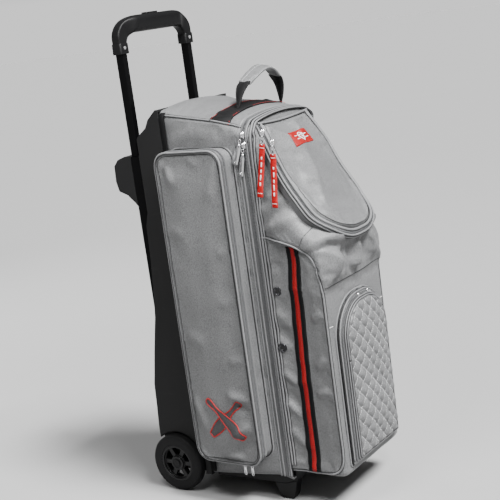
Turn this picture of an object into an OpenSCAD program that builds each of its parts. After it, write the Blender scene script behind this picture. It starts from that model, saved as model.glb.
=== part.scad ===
// Upright roller bag for bowling balls: moulded back shell with two wheels and a telescoping handle,
// a tall fabric ball compartment, a front section with shoe compartment and quilted pocket,
// and a zipped pocket on each side. The balls stand one above the other inside.
// Frame: millimetres, +Y to the back where the handle is, +Z up, +X to the right of someone who faces
// the bag's front. The origin lies on the floor under the centre of the bounding box.

/* [Main body] */
// Half of the fabric body's width
body_half_w = 116; // [105:1:125]
// Thickness of the padded fabric walls
wall = 4; // [3:0.5:8]
// Height of the body's top edge at the back
body_top_back = 824; // [760:1:860]
// Height of the body's top edge at the front zip
body_top_front = 790; // [740:1:820]
// Front end of the ball compartment, where the main zip runs
zip_y = -100; // [-120:1:-80]
// Front of the moulded back shell
shell_y = 105; // [95:1:115]

/* [Bowling balls] */
// Radius of the recess that holds a ball
ball_recess_r = 109.5; // [108.5:0.5:112]
// Distance from one ball's centre to the next
ball_pitch = 235; // [228:1:240]
// Height of the lowest ball's centre
first_ball_z = 190; // [180:1:200]

/* [Front section] */
// Front face of the shoe compartment
front_y = -229; // [-236:1:-215]
// Length of the sloping lid along its slope
lid_len = 272; // [240:1:280]
// Angle of the lid below the horizontal
lid_slope = 60; // [50:1:65]
// Height of the quilted pocket's rounded top
quilt_top = 432; // [380:1:450]
// Half of the quilted pocket's width
quilt_half_w = 98; // [80:1:104]

/* [Side pockets] */
// How far a side pocket stands out from the body
pocket_depth = 52; // [30:1:60]
// Lower and upper end of a side pocket
pocket_z0 = 99; // [90:1:140]
pocket_z1 = 751; // [600:1:760]
// Corner radius of a side pocket
pocket_r = 28; // [15:1:40]

/* [Wheels] */
// Wheel radius
wheel_r = 63.5; // [50:0.5:70]
// Tyre width
tyre_w = 25; // [20:1:30]
// Distance from the middle of the bag to the tyre's outer face
wheel_out = 138; // [130:1:145]
// Axle radius
axle_r = 4; // [3:0.5:5]
// Number of wheel spokes
spokes = 6; // [4:1:8]

/* [Trolley handle] */
// Distance from the middle of the bag to each tube's axis
tube_x = 110.7; // [100:0.1:112]
// Inner tube size across and front to back
tube_w = 15; // [12:0.5:18]
tube_d = 18.6; // [14:0.2:22]
// Tube wall thickness
tube_t = 1.4; // [1:0.1:2]
// Height of the pulled-out grip's top
grip_top = 1025; // [980:1:1060]
// Height of the grip's legs
grip_leg = 74; // [60:1:95]

/* [Hidden] */
$fn = 64;

fabric_grey = [0.62, 0.63, 0.64];
webbing_black = [0.1, 0.1, 0.11];
plastic_black = [0.13, 0.13, 0.14];
signal_red = [0.85, 0.16, 0.13];
metal = [0.75, 0.76, 0.78];
foam_grey = [0.35, 0.36, 0.38];

tube_y = 185;
axle_y = 187;
axle_z = wheel_r;
tube_mid_d = tube_d + 2 * tube_t + 0.8;
tube_mid_w = tube_w + 2 * tube_t + 0.8;
outer_bottom = 330;
outer_top = 741;
inner_bottom = 598;
grip_half_w = tube_x + 12.1;
grip_d = 22.4;
grip_bar_z = grip_top - 35;
leg_z = grip_top - grip_leg;
shell_half_w = 123;
shell_t = 3.5;
binding_y = shell_y - 7.6;
well_r = wheel_r + 5;
well_x = wheel_out - tyre_w - 4;
hinge_z = 72;
front_gap = 1;
lid_t = 6;
lid_y = -112;
lid_z = 790;
pocket_face_t = 5;
pocket_y0 = -62;
pocket_y1 = 97;
pocket_x = body_half_w + pocket_depth;
quilt_y = -246;
quilt_t = 6;
quilt_z0 = 92;
strap_x = 24;
strap_y = -45;
strap_hinge_z = 818;
pull_x = -body_half_w - 7.4;
strap_leg_r = 13;
ball_y = 17;

// Side outline of the moulded shell, from the lower front corner round the back to the top
shell_outline = [
  [shell_y, 41], [232, 41], [234, 136], [230, 198], [228, 238], [213, 315], [196, 393],
  [189, 451], [183, 517], [180, 593], [170, 626], [170, 776], [164, 783], [143, 798],
  [134, 814], [112, 833], [shell_y, 833]
];

// Side outline of the handle housing that stands out at the top of the shell
housing_outline = [
  [170.3, 627], [173.3, 617], [188, 626], [202, 643], [219, 659], [241, 668], [246, 690],
  [244, 722], [232, 735], [214, 741], [170.3, 741]
];

// Side outline of the ball compartment
case_outline = [
  [shell_y - 0.3, 42], [shell_y - 0.3, body_top_back], [-68, body_top_front + 8],
  [zip_y, body_top_front], [zip_y, 70], [-72, 60]
];

// Side outline of the front section, under the lid's slope
front_outline = [
  [zip_y - front_gap, hinge_z + 2], [zip_y - front_gap, body_top_front - 4], [-106, 785],
  [-238, 556.5], [-237, 478], [front_y, 464], [front_y, 78]
];

// Extrudes a side outline, drawn as [y, z] points, from x0 to x1
module side_slab(x0, x1) {
  translate([x0, 0, 0])
    rotate([90, 0, 90])
      linear_extrude(x1 - x0)
        children();
}

// Extrudes a front outline, drawn as [x, z] points, from y0 back to y1
module front_slab(y0, y1) {
  translate([0, y1, 0])
    rotate([90, 0, 0])
      linear_extrude(y1 - y0)
        children();
}

// Rectangle with round corners between two opposite corners
module round_rect(low, high, r) {
  w = high[0] - low[0];
  h = high[1] - low[1];
  translate([low[0] + r, low[1]])
    square([w - 2 * r, h]);
  translate([low[0], low[1] + r])
    square([w, h - 2 * r]);
  for (x = [low[0] + r, high[0] - r], y = [low[1] + r, high[1] - r])
    translate([x, y])
      circle(r);
}

// Block between two opposite corners
module block(low, high) {
  translate(low)
    cube(high - low);
}

// Round bar or disc along X, centred on the given y and z
module x_rod(x0, x1, y, z, r) {
  translate([x0, y, z])
    rotate([0, 90, 0])
      cylinder(h = x1 - x0, r = r);
}

// Both sides of the bag: side is -1 for the left and 1 for the right
module sided(side) {
  mirror([side < 0 ? 1 : 0, 0, 0])
    children();
}

// ---- moulded shell and frame

module tube_space(clear) {
  for (side = [-1, 1])
    translate([side * tube_x, tube_y, 0])
      block([-tube_mid_w / 2 - clear, -tube_mid_d / 2 - clear, outer_bottom - clear],
            [tube_mid_w / 2 + clear, tube_mid_d / 2 + clear, 900]);
}

module back_shell() {
  color(plastic_black)
    difference() {
      side_slab(-shell_half_w, shell_half_w)
        polygon(shell_outline);
      // hollow inside, open towards the ball compartment
      side_slab(-shell_half_w + shell_t, shell_half_w - shell_t)
        polygon([
          [shell_y - 1, 136], [228, 140], [226, 198], [224, 238], [209, 315], [192, 393],
          [185, 451], [179, 517], [176, 593], [166, 622], [166, 774], [161, 780], [140, 795],
          [131, 811], [110, 828], [shell_y - 1, 828]
        ]);
      // hollow cells between ribs below, between the two wheel wells
      for (x = [-105, -34, 37])
        block([x, shell_y - 1, 46], [x + 68, 228, 132]);
      tube_space(0.5);
      // slots that show the tubes behind the shell
      for (side = [-1, 1])
        block([side * tube_x - tube_mid_w / 2 - 0.5, tube_y - tube_mid_d / 2 - 0.5, 400],
              [side * tube_x + tube_mid_w / 2 + 0.5, tube_y + 30, 626]);
      for (side = [-1, 1])
        sided(side)
          x_rod(well_x, shell_half_w + 1, axle_y, axle_z, well_r);
      x_rod(-shell_half_w, shell_half_w, axle_y, axle_z, axle_r);
    }
}

module handle_housing() {
  color(plastic_black)
    difference() {
      side_slab(-120, 120)
        polygon(housing_outline);
      side_slab(-95, 95)
        polygon([
          [170, 630], [186, 633], [198, 648], [217, 664], [236, 673], [241, 692],
          [239, 718], [230, 729], [213, 735], [170, 735]
        ]);
      tube_space(0.3);
    }
}

module outer_tube() {
  color(plastic_black)
    translate([tube_x, tube_y, 0])
      difference() {
        block([-tube_mid_w / 2, -tube_mid_d / 2, outer_bottom], [tube_mid_w / 2, tube_mid_d / 2, outer_top]);
        block([-tube_w / 2 - 0.4, -tube_d / 2 - 0.4, outer_bottom - 1],
              [tube_w / 2 + 0.4, tube_d / 2 + 0.4, outer_top + 1]);
      }
}

// Crossbar that carries the tubes' lower ends
module tube_bracket() {
  color(metal)
    difference() {
      block([-119, 168, 318], [119, 201, 329.9]);
      for (x = [-80, 0, 80])
        translate([x, 184, 310])
          cylinder(h = 30, r = 2.6);
    }
}

module shell_binding() {
  color(webbing_black)
    difference() {
      side_slab(-shell_half_w - 1.6, shell_half_w + 1.6)
        polygon([
          [binding_y, 47], [shell_y, 47], [shell_y, 836], [binding_y, 836]
        ]);
      side_slab(-body_half_w - 0.1, body_half_w + 0.1)
        polygon([
          [binding_y - 1, 40], [shell_y + 1, 40], [shell_y + 1, 826.5], [binding_y - 1, 828]
        ]);
    }
}

// Pan-head screws that hold the housing and the shell
module shell_screws() {
  color(metal)
    for (x = [-70, 70], z = [678, 712])
      translate([x, 240.5, z])
        rotate([-90, 0, 0])
          cylinder(h = 4.5, r = 4.5);
}

module base_tray() {
  color(plastic_black)
    difference() {
      side_slab(-102, 102)
        polygon([
          [shell_y - 0.3, 32], [shell_y - 0.3, 41.5], [-72, 59.3],
          [zip_y, 69.3], [zip_y, 46], [-70, 36]
        ]);
      for (x = [-70, 0, 70])
        block([x - 24, -50, 30], [x + 24, 90, 38]);
    }
}

module front_foot() {
  color(plastic_black)
    side_slab(78, 100)
      polygon([[-40, 35.3], [-70, 35.9], [-97, 44.9], [-97, 42], [-88, 8], [-82, 0], [-57, 0], [-50, 10]]);
}

// ---- wheels and axle

module axle() {
  color(metal)
    x_rod(-wheel_out + 5, wheel_out - 5, axle_y, axle_z, axle_r);
}

module axle_spacers() {
  color(metal)
    for (side = [-1, 1])
      sided(side)
        difference() {
          x_rod(well_x, well_x + 4.5, axle_y, axle_z, 7);
          x_rod(well_x - 1, well_x + 6, axle_y, axle_z, axle_r);
        }
}

module axle_clips() {
  color(metal)
    for (side = [-1, 1])
      sided(side)
        difference() {
          x_rod(wheel_out - 7.2, wheel_out - 5.8, axle_y, axle_z, 7);
          x_rod(wheel_out - 8, wheel_out - 5, axle_y, axle_z, axle_r);
        }
}

module rim() {
  inner_x = wheel_out - tyre_w + 1;
  outer_x = wheel_out - 1.5;
  window = concat(
    [for (a = [-21:7:21]) [34 * cos(a), 34 * sin(a)]],
    [for (a = [15:-15:-15]) [18 * cos(a), 18 * sin(a)]]
  );
  color([0.17, 0.17, 0.18])
    difference() {
      x_rod(inner_x, outer_x, axle_y, axle_z, 41);
      x_rod(inner_x - 1, inner_x + 5, axle_y, axle_z, 36);
      difference() {
        x_rod(outer_x - 5, outer_x + 1, axle_y, axle_z, 36);
        x_rod(outer_x - 6, outer_x + 2, axle_y, axle_z, 16);
      }
      for (i = [0:spokes - 1])
        translate([0, axle_y, axle_z])
          rotate([360 / spokes * (i + 0.5), 0, 0])
            side_slab(inner_x - 1, outer_x + 1)
              polygon(window);
      x_rod(inner_x - 1, outer_x + 1, axle_y, axle_z, 11);
    }
}

module tyre() {
  half = tyre_w / 2;
  color([0.1, 0.1, 0.1])
    translate([wheel_out - half, axle_y, axle_z])
      rotate([0, 90, 0])
        rotate_extrude()
          polygon([
            [41, 1 - half], [58, -half], [61, 1.5 - half], [wheel_r - 0.4, 4.5 - half], [wheel_r, 7 - half],
            [wheel_r, half - 7], [wheel_r - 0.4, half - 4.5], [61, half - 1.5], [58, half], [41, half - 1]
          ]);
}

module bearings() {
  color(metal)
    for (x = [wheel_out - tyre_w + 1.2, wheel_out - 14.2])
      difference() {
        x_rod(x, x + 6.8, axle_y, axle_z, 11);
        x_rod(x - 1, x + 8, axle_y, axle_z, axle_r + 0.05);
      }
}

module hub_cap() {
  color(plastic_black)
    difference() {
      union() {
        x_rod(wheel_out - 5, wheel_out - 2, axle_y, axle_z, 10.9);
        x_rod(wheel_out - 2, wheel_out - 0.2, axle_y, axle_z, 8);
      }
      x_rod(wheel_out - 6, wheel_out - 3.4, axle_y, axle_z, 8);
    }
}

// ---- trolley handle

module inner_tube() {
  color(metal)
    translate([tube_x, tube_y, 0])
      difference() {
        block([-tube_w / 2, -tube_d / 2, inner_bottom], [tube_w / 2, tube_d / 2, leg_z + 22]);
        block([-tube_w / 2 + tube_t, -tube_d / 2 + tube_t, inner_bottom - 1],
              [tube_w / 2 - tube_t, tube_d / 2 - tube_t, leg_z + 23]);
      }
}

module tube_plugs() {
  color(plastic_black)
    for (side = [-1, 1])
      translate([side * tube_x, tube_y, 0]) {
        block([-tube_w / 2, -tube_d / 2, inner_bottom - 5], [tube_w / 2, tube_d / 2, inner_bottom]);
        block([-tube_w / 2 + tube_t, -tube_d / 2 + tube_t, inner_bottom],
              [tube_w / 2 - tube_t, tube_d / 2 - tube_t, inner_bottom + 20]);
      }
}

module grip() {
  bar_r = 42;
  bar_bulge = 13;
  color(plastic_black)
    difference() {
      union() {
        front_slab(tube_y - grip_d / 2, tube_y + grip_d / 2)
          difference() {
            intersection() {
              round_rect([-grip_half_w, leg_z - 2 * bar_r], [grip_half_w, grip_top], bar_r);
              translate([-grip_half_w, leg_z])
                square([2 * grip_half_w, grip_leg]);
            }
            round_rect([-grip_half_w + 24.2, leg_z - 30], [grip_half_w - 24.2, grip_bar_z], 22);
          }
        // the bar is deeper than the legs towards the front
        front_slab(tube_y - grip_d / 2 - bar_bulge, tube_y)
          round_rect([-grip_half_w + 12, grip_bar_z], [grip_half_w - 12, grip_top - 1.5], 16);
      }
      for (side = [-1, 1])
        translate([side * tube_x, tube_y, 0])
          block([-tube_w / 2, -tube_d / 2, leg_z - 1], [tube_w / 2, tube_d / 2, leg_z + 22]);
      // well of the push button
      block([-20, tube_y - 7, grip_top - 9], [20, tube_y + 7, grip_top + 1]);
    }
}

module grip_screws() {
  color(metal)
    for (side = [-1, 1])
      translate([side * tube_x, tube_y - grip_d / 2 - 1.6, leg_z + 12])
        rotate([-90, 0, 0])
          cylinder(h = 1.6, r = 3.6);
}

module grip_button() {
  color(plastic_black)
    difference() {
      block([-19.5, tube_y - 6.5, grip_top - 4.6], [19.5, tube_y + 6.5, grip_top + 3]);
      for (side = [-1, 1])
        translate([side * 19.5, tube_y - 7, grip_top + 3])
          rotate([0, 45, 0])
            cube([2.4, 14, 2.4], center = false);
    }
}

// ---- ball compartment

module body_case() {
  color(fabric_grey)
    difference() {
      side_slab(-body_half_w, body_half_w)
        polygon(case_outline);
      // cavity, open at the back against the shell and at the front against the door
      side_slab(-body_half_w + wall, body_half_w - wall)
        polygon([
          [shell_y + 1, 42 + wall], [shell_y + 1, body_top_back - wall], [-68, body_top_front + 8 - wall],
          [zip_y - 1, body_top_front - wall], [zip_y - 1, 70 + wall], [-72, 60 + wall]
        ]);
    }
}

module base_board() {
  color([0.2, 0.2, 0.22])
    side_slab(-body_half_w + wall + 0.5, body_half_w - wall - 0.5)
      polygon([[shell_y - 1, 46.5], [shell_y - 1, 50], [-72, 68], [-80, 71], [-80, 67.7], [-72, 64.5]]);
}

// Foam cradle under one ball
module ball_cup(centre_z) {
  color(foam_grey)
    difference() {
      block([-111, -90, centre_z - 118], [111, 102, centre_z - 82]);
      translate([0, ball_y, centre_z])
        sphere(ball_recess_r);
    }
}

module ball_shelf(centre_z) {
  color([0.2, 0.2, 0.22])
    block([-111.5, -92, centre_z - 123], [111.5, 103, centre_z - 118.1]);
}

module strap_base() {
  slope = atan((body_top_back - body_top_front - 8) / (shell_y - 0.3 + 68));
  color(webbing_black)
    translate([0, -68, body_top_front + 8])
      rotate([slope, 0, 0])
        block([-body_half_w, 9, 0.05], [body_half_w, 53, 2.6]);
}

// The zip's fabric tape and teeth round the front edge of the ball compartment
module main_zip_track() {
  color([0.45, 0.46, 0.47])
    difference() {
      side_slab(-body_half_w - 1.4, body_half_w + 1.4)
        polygon([[zip_y, 74], [zip_y, 792.5], [zip_y + 14, 795.9], [zip_y + 14, 74]]);
      side_slab(-body_half_w - 0.05, body_half_w + 0.05)
        polygon([[zip_y - 1, 73], [zip_y - 1, 790.1], [zip_y + 15, 794.2], [zip_y + 15, 73]]);
    }
}

// ---- side pockets

module pocket_ring(grow, x0, x1) {
  side_slab(x0, x1)
    round_rect([pocket_y0 - grow, pocket_z0 - grow], [pocket_y1 + grow, pocket_z1 + grow], pocket_r);
}

module pocket_gusset() {
  color(fabric_grey)
    difference() {
      pocket_ring(0, body_half_w + 0.1, pocket_x - pocket_face_t - 0.4);
      pocket_ring(-wall, body_half_w + wall, pocket_x);
    }
}

module pocket_door() {
  color(fabric_grey)
    pocket_ring(0, pocket_x - pocket_face_t, pocket_x);
}

module pocket_pull() {
  color(metal)
    for (y = [-5, -23])
      block([pocket_x - 22, y - 3, 66], [pocket_x - 19.5, y + 3, pocket_z0 - 3]);
}

// ---- carry strap

module strap_webbing() {
  leg_t = 3;
  top_z = 868;
  color(webbing_black)
    for (x = [strap_x - 71, strap_x + 71])
      difference() {
        union() {
          block([x - leg_t / 2, strap_y - strap_leg_r, strap_hinge_z],
                [x + leg_t / 2, strap_y + strap_leg_r, top_z]);
          x_rod(x - leg_t / 2, x + leg_t / 2, strap_y, strap_hinge_z, strap_leg_r);
        }
        x_rod(x - leg_t, x + leg_t, strap_y, strap_hinge_z, 1.5);
      }
}

module strap_pad() {
  pad_t = 9;
  color(fabric_grey)
    front_slab(strap_y - 15, strap_y + 15)
      difference() {
        round_rect([strap_x - 77, 850], [strap_x + 77, 890], 18);
        round_rect([strap_x - 77 + pad_t, 830], [strap_x + 77 - pad_t, 890 - pad_t], 14);
        translate([strap_x - 80, 840])
          square([160, 28]);
      }
}

// ---- front section

module front_case() {
  color(fabric_grey)
    difference() {
      side_slab(-body_half_w, body_half_w)
        polygon(front_outline);
      side_slab(-body_half_w + wall, body_half_w - wall)
        polygon([
          [zip_y - front_gap - wall, hinge_z + 6], [zip_y - front_gap - wall, 778],
          [-234, 555], [-233, 480], [front_y + wall, 466], [front_y + wall, 82]
        ]);
      // mouth under the lid
      side_slab(-76, 76)
        polygon([[-112, 765], [-128, 782], [-238, 592], [-222, 583]]);
    }
}

// Shelf over the shoes; it stops short of the front, where the shoes go in
module shoe_shelf() {
  color([0.2, 0.2, 0.22])
    block([-111, front_y + wall + 36, 458], [111, zip_y - front_gap - wall - 0.1, 462]);
}

// Ring of gusset round the quilted pocket
module quilt_outline(grow) {
  translate([-quilt_half_w - grow, quilt_z0 - grow])
    square([2 * (quilt_half_w + grow), quilt_top - 70 - quilt_z0 + grow]);
  translate([-quilt_half_w + 70, quilt_z0 - grow])
    square([2 * (quilt_half_w - 70), quilt_top - quilt_z0 + 2 * grow]);
  for (side = [-1, 1])
    translate([side * (quilt_half_w - 70), quilt_top - 70])
      circle(70 + grow);
}

module quilt_gusset() {
  color(fabric_grey)
    difference() {
      front_slab(quilt_y + quilt_t + 0.4, front_y - 0.1)
        quilt_outline(0);
      front_slab(quilt_y, front_y - 3)
        quilt_outline(-wall);
    }
}

module quilt_panel() {
  color(fabric_grey)
    front_slab(quilt_y, quilt_y + quilt_t)
      quilt_outline(0);
}

module stripes() {
  for (side = [-1, 1])
    sided(side) {
      color(webbing_black)
        side_slab(body_half_w + 0.1, body_half_w + 1.6)
          polygon([[-140, 76], [-150.5, 76], [-151, 300], [-161.5, 540], [-151, 545], [-141, 300]]);
      color(signal_red)
        side_slab(body_half_w + 0.1, body_half_w + 1.8)
          polygon([[-150.6, 76], [-161.4, 76], [-162, 300], [-171.4, 540], [-161.6, 540], [-151.1, 300]]);
      color(webbing_black)
        side_slab(body_half_w + 0.1, body_half_w + 1.6)
          polygon([[-161.5, 76], [-173, 76], [-173, 300], [-181, 532], [-171.5, 537], [-162.1, 300]]);
    }
}

module vent_eyelets() {
  color(plastic_black)
    for (side = [-1, 1], p = [[-122, 458], [-117, 341]])
      sided(side)
        difference() {
          x_rod(body_half_w + 0.1, body_half_w + 2.2, p[0], p[1], 9.5);
          x_rod(body_half_w - 1, body_half_w + 3, p[0], p[1], 5);
        }
}

// ---- sloping lid, drawn flat and then laid on the slope; its hinge line is the local X axis

module on_slope() {
  translate([0, lid_y, lid_z])
    rotate([180 + lid_slope, 0, 0])
      children();
}

module lid_shape() {
  tip_r = 86;
  polygon([
    [-84, 4], [84, 4], [98, 80], [98, lid_len - tip_r], [-98, lid_len - tip_r], [-98, 80]
  ]);
  for (side = [-1, 1])
    translate([side * 12, lid_len - tip_r])
      circle(tip_r);
}

module lid_panel() {
  color(fabric_grey)
    on_slope()
      linear_extrude(lid_t)
        lid_shape();
}

module lid_patch() {
  color(signal_red)
    on_slope()
      translate([0, 0, -1.2])
        linear_extrude(1.1)
          polygon([[-34, 43], [30, 43], [30, 71], [-34, 71]]);
}

// ---- zip sliders, pulls and ribbons on the outside of the body's left side

module zip_slider(y, z) {
  color(metal)
    block([-body_half_w - 6, y - 4, z - 7], [-body_half_w - 1.7, y + 4, z + 7]);
}

// Flat tab that hangs from its pivot and leans towards the back by an angle
module hanging_tab(pivot, lean, x0, x1, half_w, len) {
  translate([0, pivot[0], pivot[1]])
    rotate([lean, 0, 0])
      block([x0, -half_w, -len], [x1, half_w, 0.5]);
}

module main_zip_slider() {
  zip_slider(zip_y + 8, 752);
}

module main_zip_pull() {
  color(metal)
    hanging_tab([zip_y + 8, 744.5], 14, pull_x - 1, pull_x + 1, 4, 56);
}

module upper_zip_slider() {
  zip_slider(zip_y + 8, 772);
}

module upper_zip_pull() {
  color(metal)
    hanging_tab([zip_y + 10, 764], 23, pull_x - 4, pull_x - 2, 4, 54);
}

// Metal link with a ribbon tied to it
module lid_ribbon(y, z, lean) {
  color(metal)
    hanging_tab([y, z], lean, -body_half_w - 3.4, -body_half_w - 1.4, 4, 17);
  color(signal_red)
    translate([0, y, z])
      rotate([lean, 0, 0])
        block([-body_half_w - 3.2, -6.5, -120], [-body_half_w - 1.6, 6.5, -17.1]);
}

module quilt_zip_pulls() {
  color(metal)
    for (x = [-10, 30])
      block([x - 3.5, quilt_y - 3.6, quilt_top - 22], [x + 3.5, quilt_y - 0.6, quilt_top + 4]);
}

back_shell();
handle_housing();
sided(-1) outer_tube();  // outer_tube_left
sided(1) outer_tube();  // outer_tube_right
tube_bracket();
shell_binding();
shell_screws();
base_tray();
sided(-1) front_foot();  // front_foot_left
sided(1) front_foot();  // front_foot_right
axle();
axle_spacers();
axle_clips();
body_case();
base_board();
ball_cup(first_ball_z);  // ball_cup_lower
ball_cup(first_ball_z + ball_pitch);  // ball_cup_middle
ball_cup(first_ball_z + 2 * ball_pitch);  // ball_cup_upper
ball_shelf(first_ball_z + ball_pitch);  // ball_shelf_lower
ball_shelf(first_ball_z + 2 * ball_pitch);  // ball_shelf_upper
strap_base();
main_zip_track();
sided(-1) pocket_gusset();  // pocket_gusset_left
sided(1) pocket_gusset();  // pocket_gusset_right
sided(-1) pocket_door();  // pocket_door_left
sided(1) pocket_door();  // pocket_door_right
sided(-1) rim();  // rim_left
sided(1) rim();  // rim_right
sided(-1) tyre();  // tyre_left
sided(1) tyre();  // tyre_right
sided(-1) bearings();  // bearings_left
sided(1) bearings();  // bearings_right
sided(-1) hub_cap();  // hub_cap_left
sided(1) hub_cap();  // hub_cap_right
sided(-1) inner_tube();  // inner_tube_left
sided(1) inner_tube();  // inner_tube_right
tube_plugs();
grip();
grip_screws();
grip_button();
strap_webbing();
strap_pad();
front_case();
shoe_shelf();
quilt_gusset();
stripes();
vent_eyelets();
lid_panel();
lid_patch();
quilt_panel();
main_zip_slider();
main_zip_pull();
upper_zip_slider();
upper_zip_pull();
lid_ribbon(-137, 769, 8.5);  // lid_ribbon_rear
lid_ribbon(-157, 749, 3);  // lid_ribbon_front
quilt_zip_pulls();
sided(-1) pocket_pull();  // pocket_pull_left
sided(1) pocket_pull();  // pocket_pull_right
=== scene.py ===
"""Looks of an upright roller bag for three bowling balls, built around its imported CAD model."""
import math

import bpy
import numpy as np
from mathutils import Matrix, Vector
from mathutils.bvhtree import BVHTree


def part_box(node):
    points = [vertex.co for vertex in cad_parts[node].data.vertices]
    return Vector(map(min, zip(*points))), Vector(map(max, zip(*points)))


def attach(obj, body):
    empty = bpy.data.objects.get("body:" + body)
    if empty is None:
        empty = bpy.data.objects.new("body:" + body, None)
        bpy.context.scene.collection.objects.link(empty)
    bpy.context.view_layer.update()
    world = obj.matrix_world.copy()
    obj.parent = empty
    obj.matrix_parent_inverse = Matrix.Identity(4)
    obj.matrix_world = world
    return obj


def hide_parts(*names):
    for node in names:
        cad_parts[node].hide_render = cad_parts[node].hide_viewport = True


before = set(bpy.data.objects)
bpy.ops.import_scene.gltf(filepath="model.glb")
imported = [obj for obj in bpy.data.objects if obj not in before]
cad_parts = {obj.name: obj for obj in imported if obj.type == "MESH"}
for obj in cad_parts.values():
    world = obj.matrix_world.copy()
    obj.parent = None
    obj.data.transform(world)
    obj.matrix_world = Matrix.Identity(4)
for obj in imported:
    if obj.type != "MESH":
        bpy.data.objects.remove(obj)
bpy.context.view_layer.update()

SCENE = bpy.context.scene


# ---- numbers: shapes are drawn in millimetres in the row frame and made in metres

def box_mm(node):
    """Lowest and highest corner of a CAD node in millimetres."""
    low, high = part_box(node)
    return np.array(low) * 1000, np.array(high) * 1000


CASE_LOW, CASE_HIGH = box_mm("body_case")
FRONT_LOW, FRONT_HIGH = box_mm("front_case")
POCKET_LOW, POCKET_HIGH = box_mm("pocket_door_right")
QUILT_LOW, QUILT_HIGH = box_mm("quilt_panel")

HALF_W = CASE_HIGH[0]
SEAM_Y = CASE_LOW[1]          # plane of the main zip
BACK_Y = CASE_HIGH[1]
DOOR_Y = FRONT_HIGH[1]        # back of the front section
TOP_BACK = CASE_HIGH[2]
TOP_FRONT = TOP_BACK - 34
BREAK_Y = SEAM_Y + 32         # the top bends down here, towards the zip
FRONT_Y = -229.0
CROWN = 13.0                  # rise of the top panel in its middle
SHOULDER = 27.0               # radius of the bag's top corners at the zip
BAG_MIDDLE = np.array([0.0, -60.0, 430.0])
LID_HINGE = np.array([0.0, -112.0, TOP_FRONT])
LID_LEN = 272.0
LID_TIP = 86.0                # radius of the lid's round end
LID_FLAT = 12.0               # half of the straight stretch at its very end
LID_SLOPE = math.radians(60)
LID_DOWN = np.array([0.0, -math.cos(LID_SLOPE), -math.sin(LID_SLOPE)])
LID_OUT = np.array([0.0, -math.sin(LID_SLOPE), math.cos(LID_SLOPE)])


# ---- shapes

def ease(t):
    """Smooth step from 0 to 1."""
    t = np.clip(t, 0.0, 1.0)
    return t * t * (3 - 2 * t)


def smooth_path(points, step, closed=False):
    """A rounded line through given points, with a point about every step millimetres."""
    p = np.array(points, float)
    if closed:
        p = np.vstack([p[-1:], p, p[:2]])
    else:
        p = np.vstack([2 * p[0] - p[1], p, 2 * p[-1] - p[-2]])
    fine = []
    for a, b, c, d in zip(p[:-3], p[1:-2], p[2:-1], p[3:]):
        for t in np.linspace(0, 1, 24, endpoint=False):
            fine.append(0.5 * (2 * b + (c - a) * t + (2 * a - 5 * b + 4 * c - d) * t**2
                               + (3 * b - a - 3 * c + d) * t**3))
    if not closed:
        fine.append(p[-2])
    return even(fine, step, closed)


def even(points, step, closed=False, count=0):
    """The same line with its points at equal distances: about step apart, or exactly count of them."""
    p = np.array(points, float)
    if closed:
        p = np.vstack([p, p[:1]])
    run = np.concatenate([[0], np.cumsum(np.linalg.norm(np.diff(p, axis=0), axis=1))])
    count = count + int(closed) if count else max(2, int(round(run[-1] / step)) + 1)
    stops = np.linspace(0, run[-1], count)
    line = np.stack([np.interp(stops, run, p[:, k]) for k in range(p.shape[1])], 1)
    return line[:-1] if closed else line


def round_rect(low, high, r, step, count=0):
    """Closed outline of a rectangle with round corners, as 2-D points."""
    points = []
    corners = [(high[0] - r, high[1] - r, 0), (low[0] + r, high[1] - r, 90),
               (low[0] + r, low[1] + r, 180), (high[0] - r, low[1] + r, 270)]
    for cx, cy, start in corners:
        for a in np.radians(np.linspace(start, start + 90, 13)):
            points.append([cx + r * math.cos(a), cy + r * math.sin(a)])
    return even(points, step, True, count)


def tangents(path, closed):
    """Direction of a line at each of its points."""
    if closed:
        return unit(np.roll(path, -1, 0) - np.roll(path, 1, 0))
    return unit(np.gradient(path, axis=0))


def unit(v):
    """Vectors scaled to length 1."""
    v = np.asarray(v, float)
    return v / np.maximum(np.linalg.norm(v, axis=-1, keepdims=True), 1e-9)


def at(x, y, z):
    """Points with those coordinates; a single number holds for all of them."""
    return np.stack(np.broadcast_arrays(x, y, z), -1).astype(float)


def circle(centre, u, w, count):
    """Points on the circle or ellipse about centre whose half axes are u and w."""
    angle = np.linspace(0, 2 * math.pi, count, endpoint=False)
    return centre + np.outer(np.cos(angle), u) + np.outer(np.sin(angle), w)


def rounded_box(power_c, power_s, count):
    """Cosines and sines round a section that is squarer the smaller the powers are."""
    angle = np.linspace(0, 2 * math.pi, count, endpoint=False)
    c, s = np.cos(angle), np.sin(angle)
    return np.sign(c) * np.abs(c) ** power_c, np.sign(s) * np.abs(s) ** power_s


def ridges(a, b, folds):
    """Height of soft folds in the plane (a, b): each has two ends, a width and a height."""
    total = np.zeros_like(a, float)
    for a0, b0, a1, b1, width, height in folds:
        along = np.array([a1 - a0, b1 - b0], float)
        length = np.linalg.norm(along)
        along /= length
        s = (a - a0) * along[0] + (b - b0) * along[1]
        d = (a - a0) * along[1] - (b - b0) * along[0]
        fade = ease(s / (0.35 * length)) * ease((length - s) / (0.35 * length))
        total += height * fade * np.exp(-((d / width) ** 2))
    return total


def ripple(a, b, seed, size):
    """Slight unevenness of sewn fabric: a few crossing waves of about that size."""
    rng = np.random.default_rng(seed)
    total = np.zeros_like(a, float)
    for _ in range(7):
        angle = rng.uniform(0, math.pi)
        k = 2 * math.pi / (size * rng.uniform(0.6, 1.6))
        shift = rng.uniform(0, 2 * math.pi)
        total += np.sin(k * (a * math.cos(angle) + b * math.sin(angle)) + shift)
    return total / 7


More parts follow.
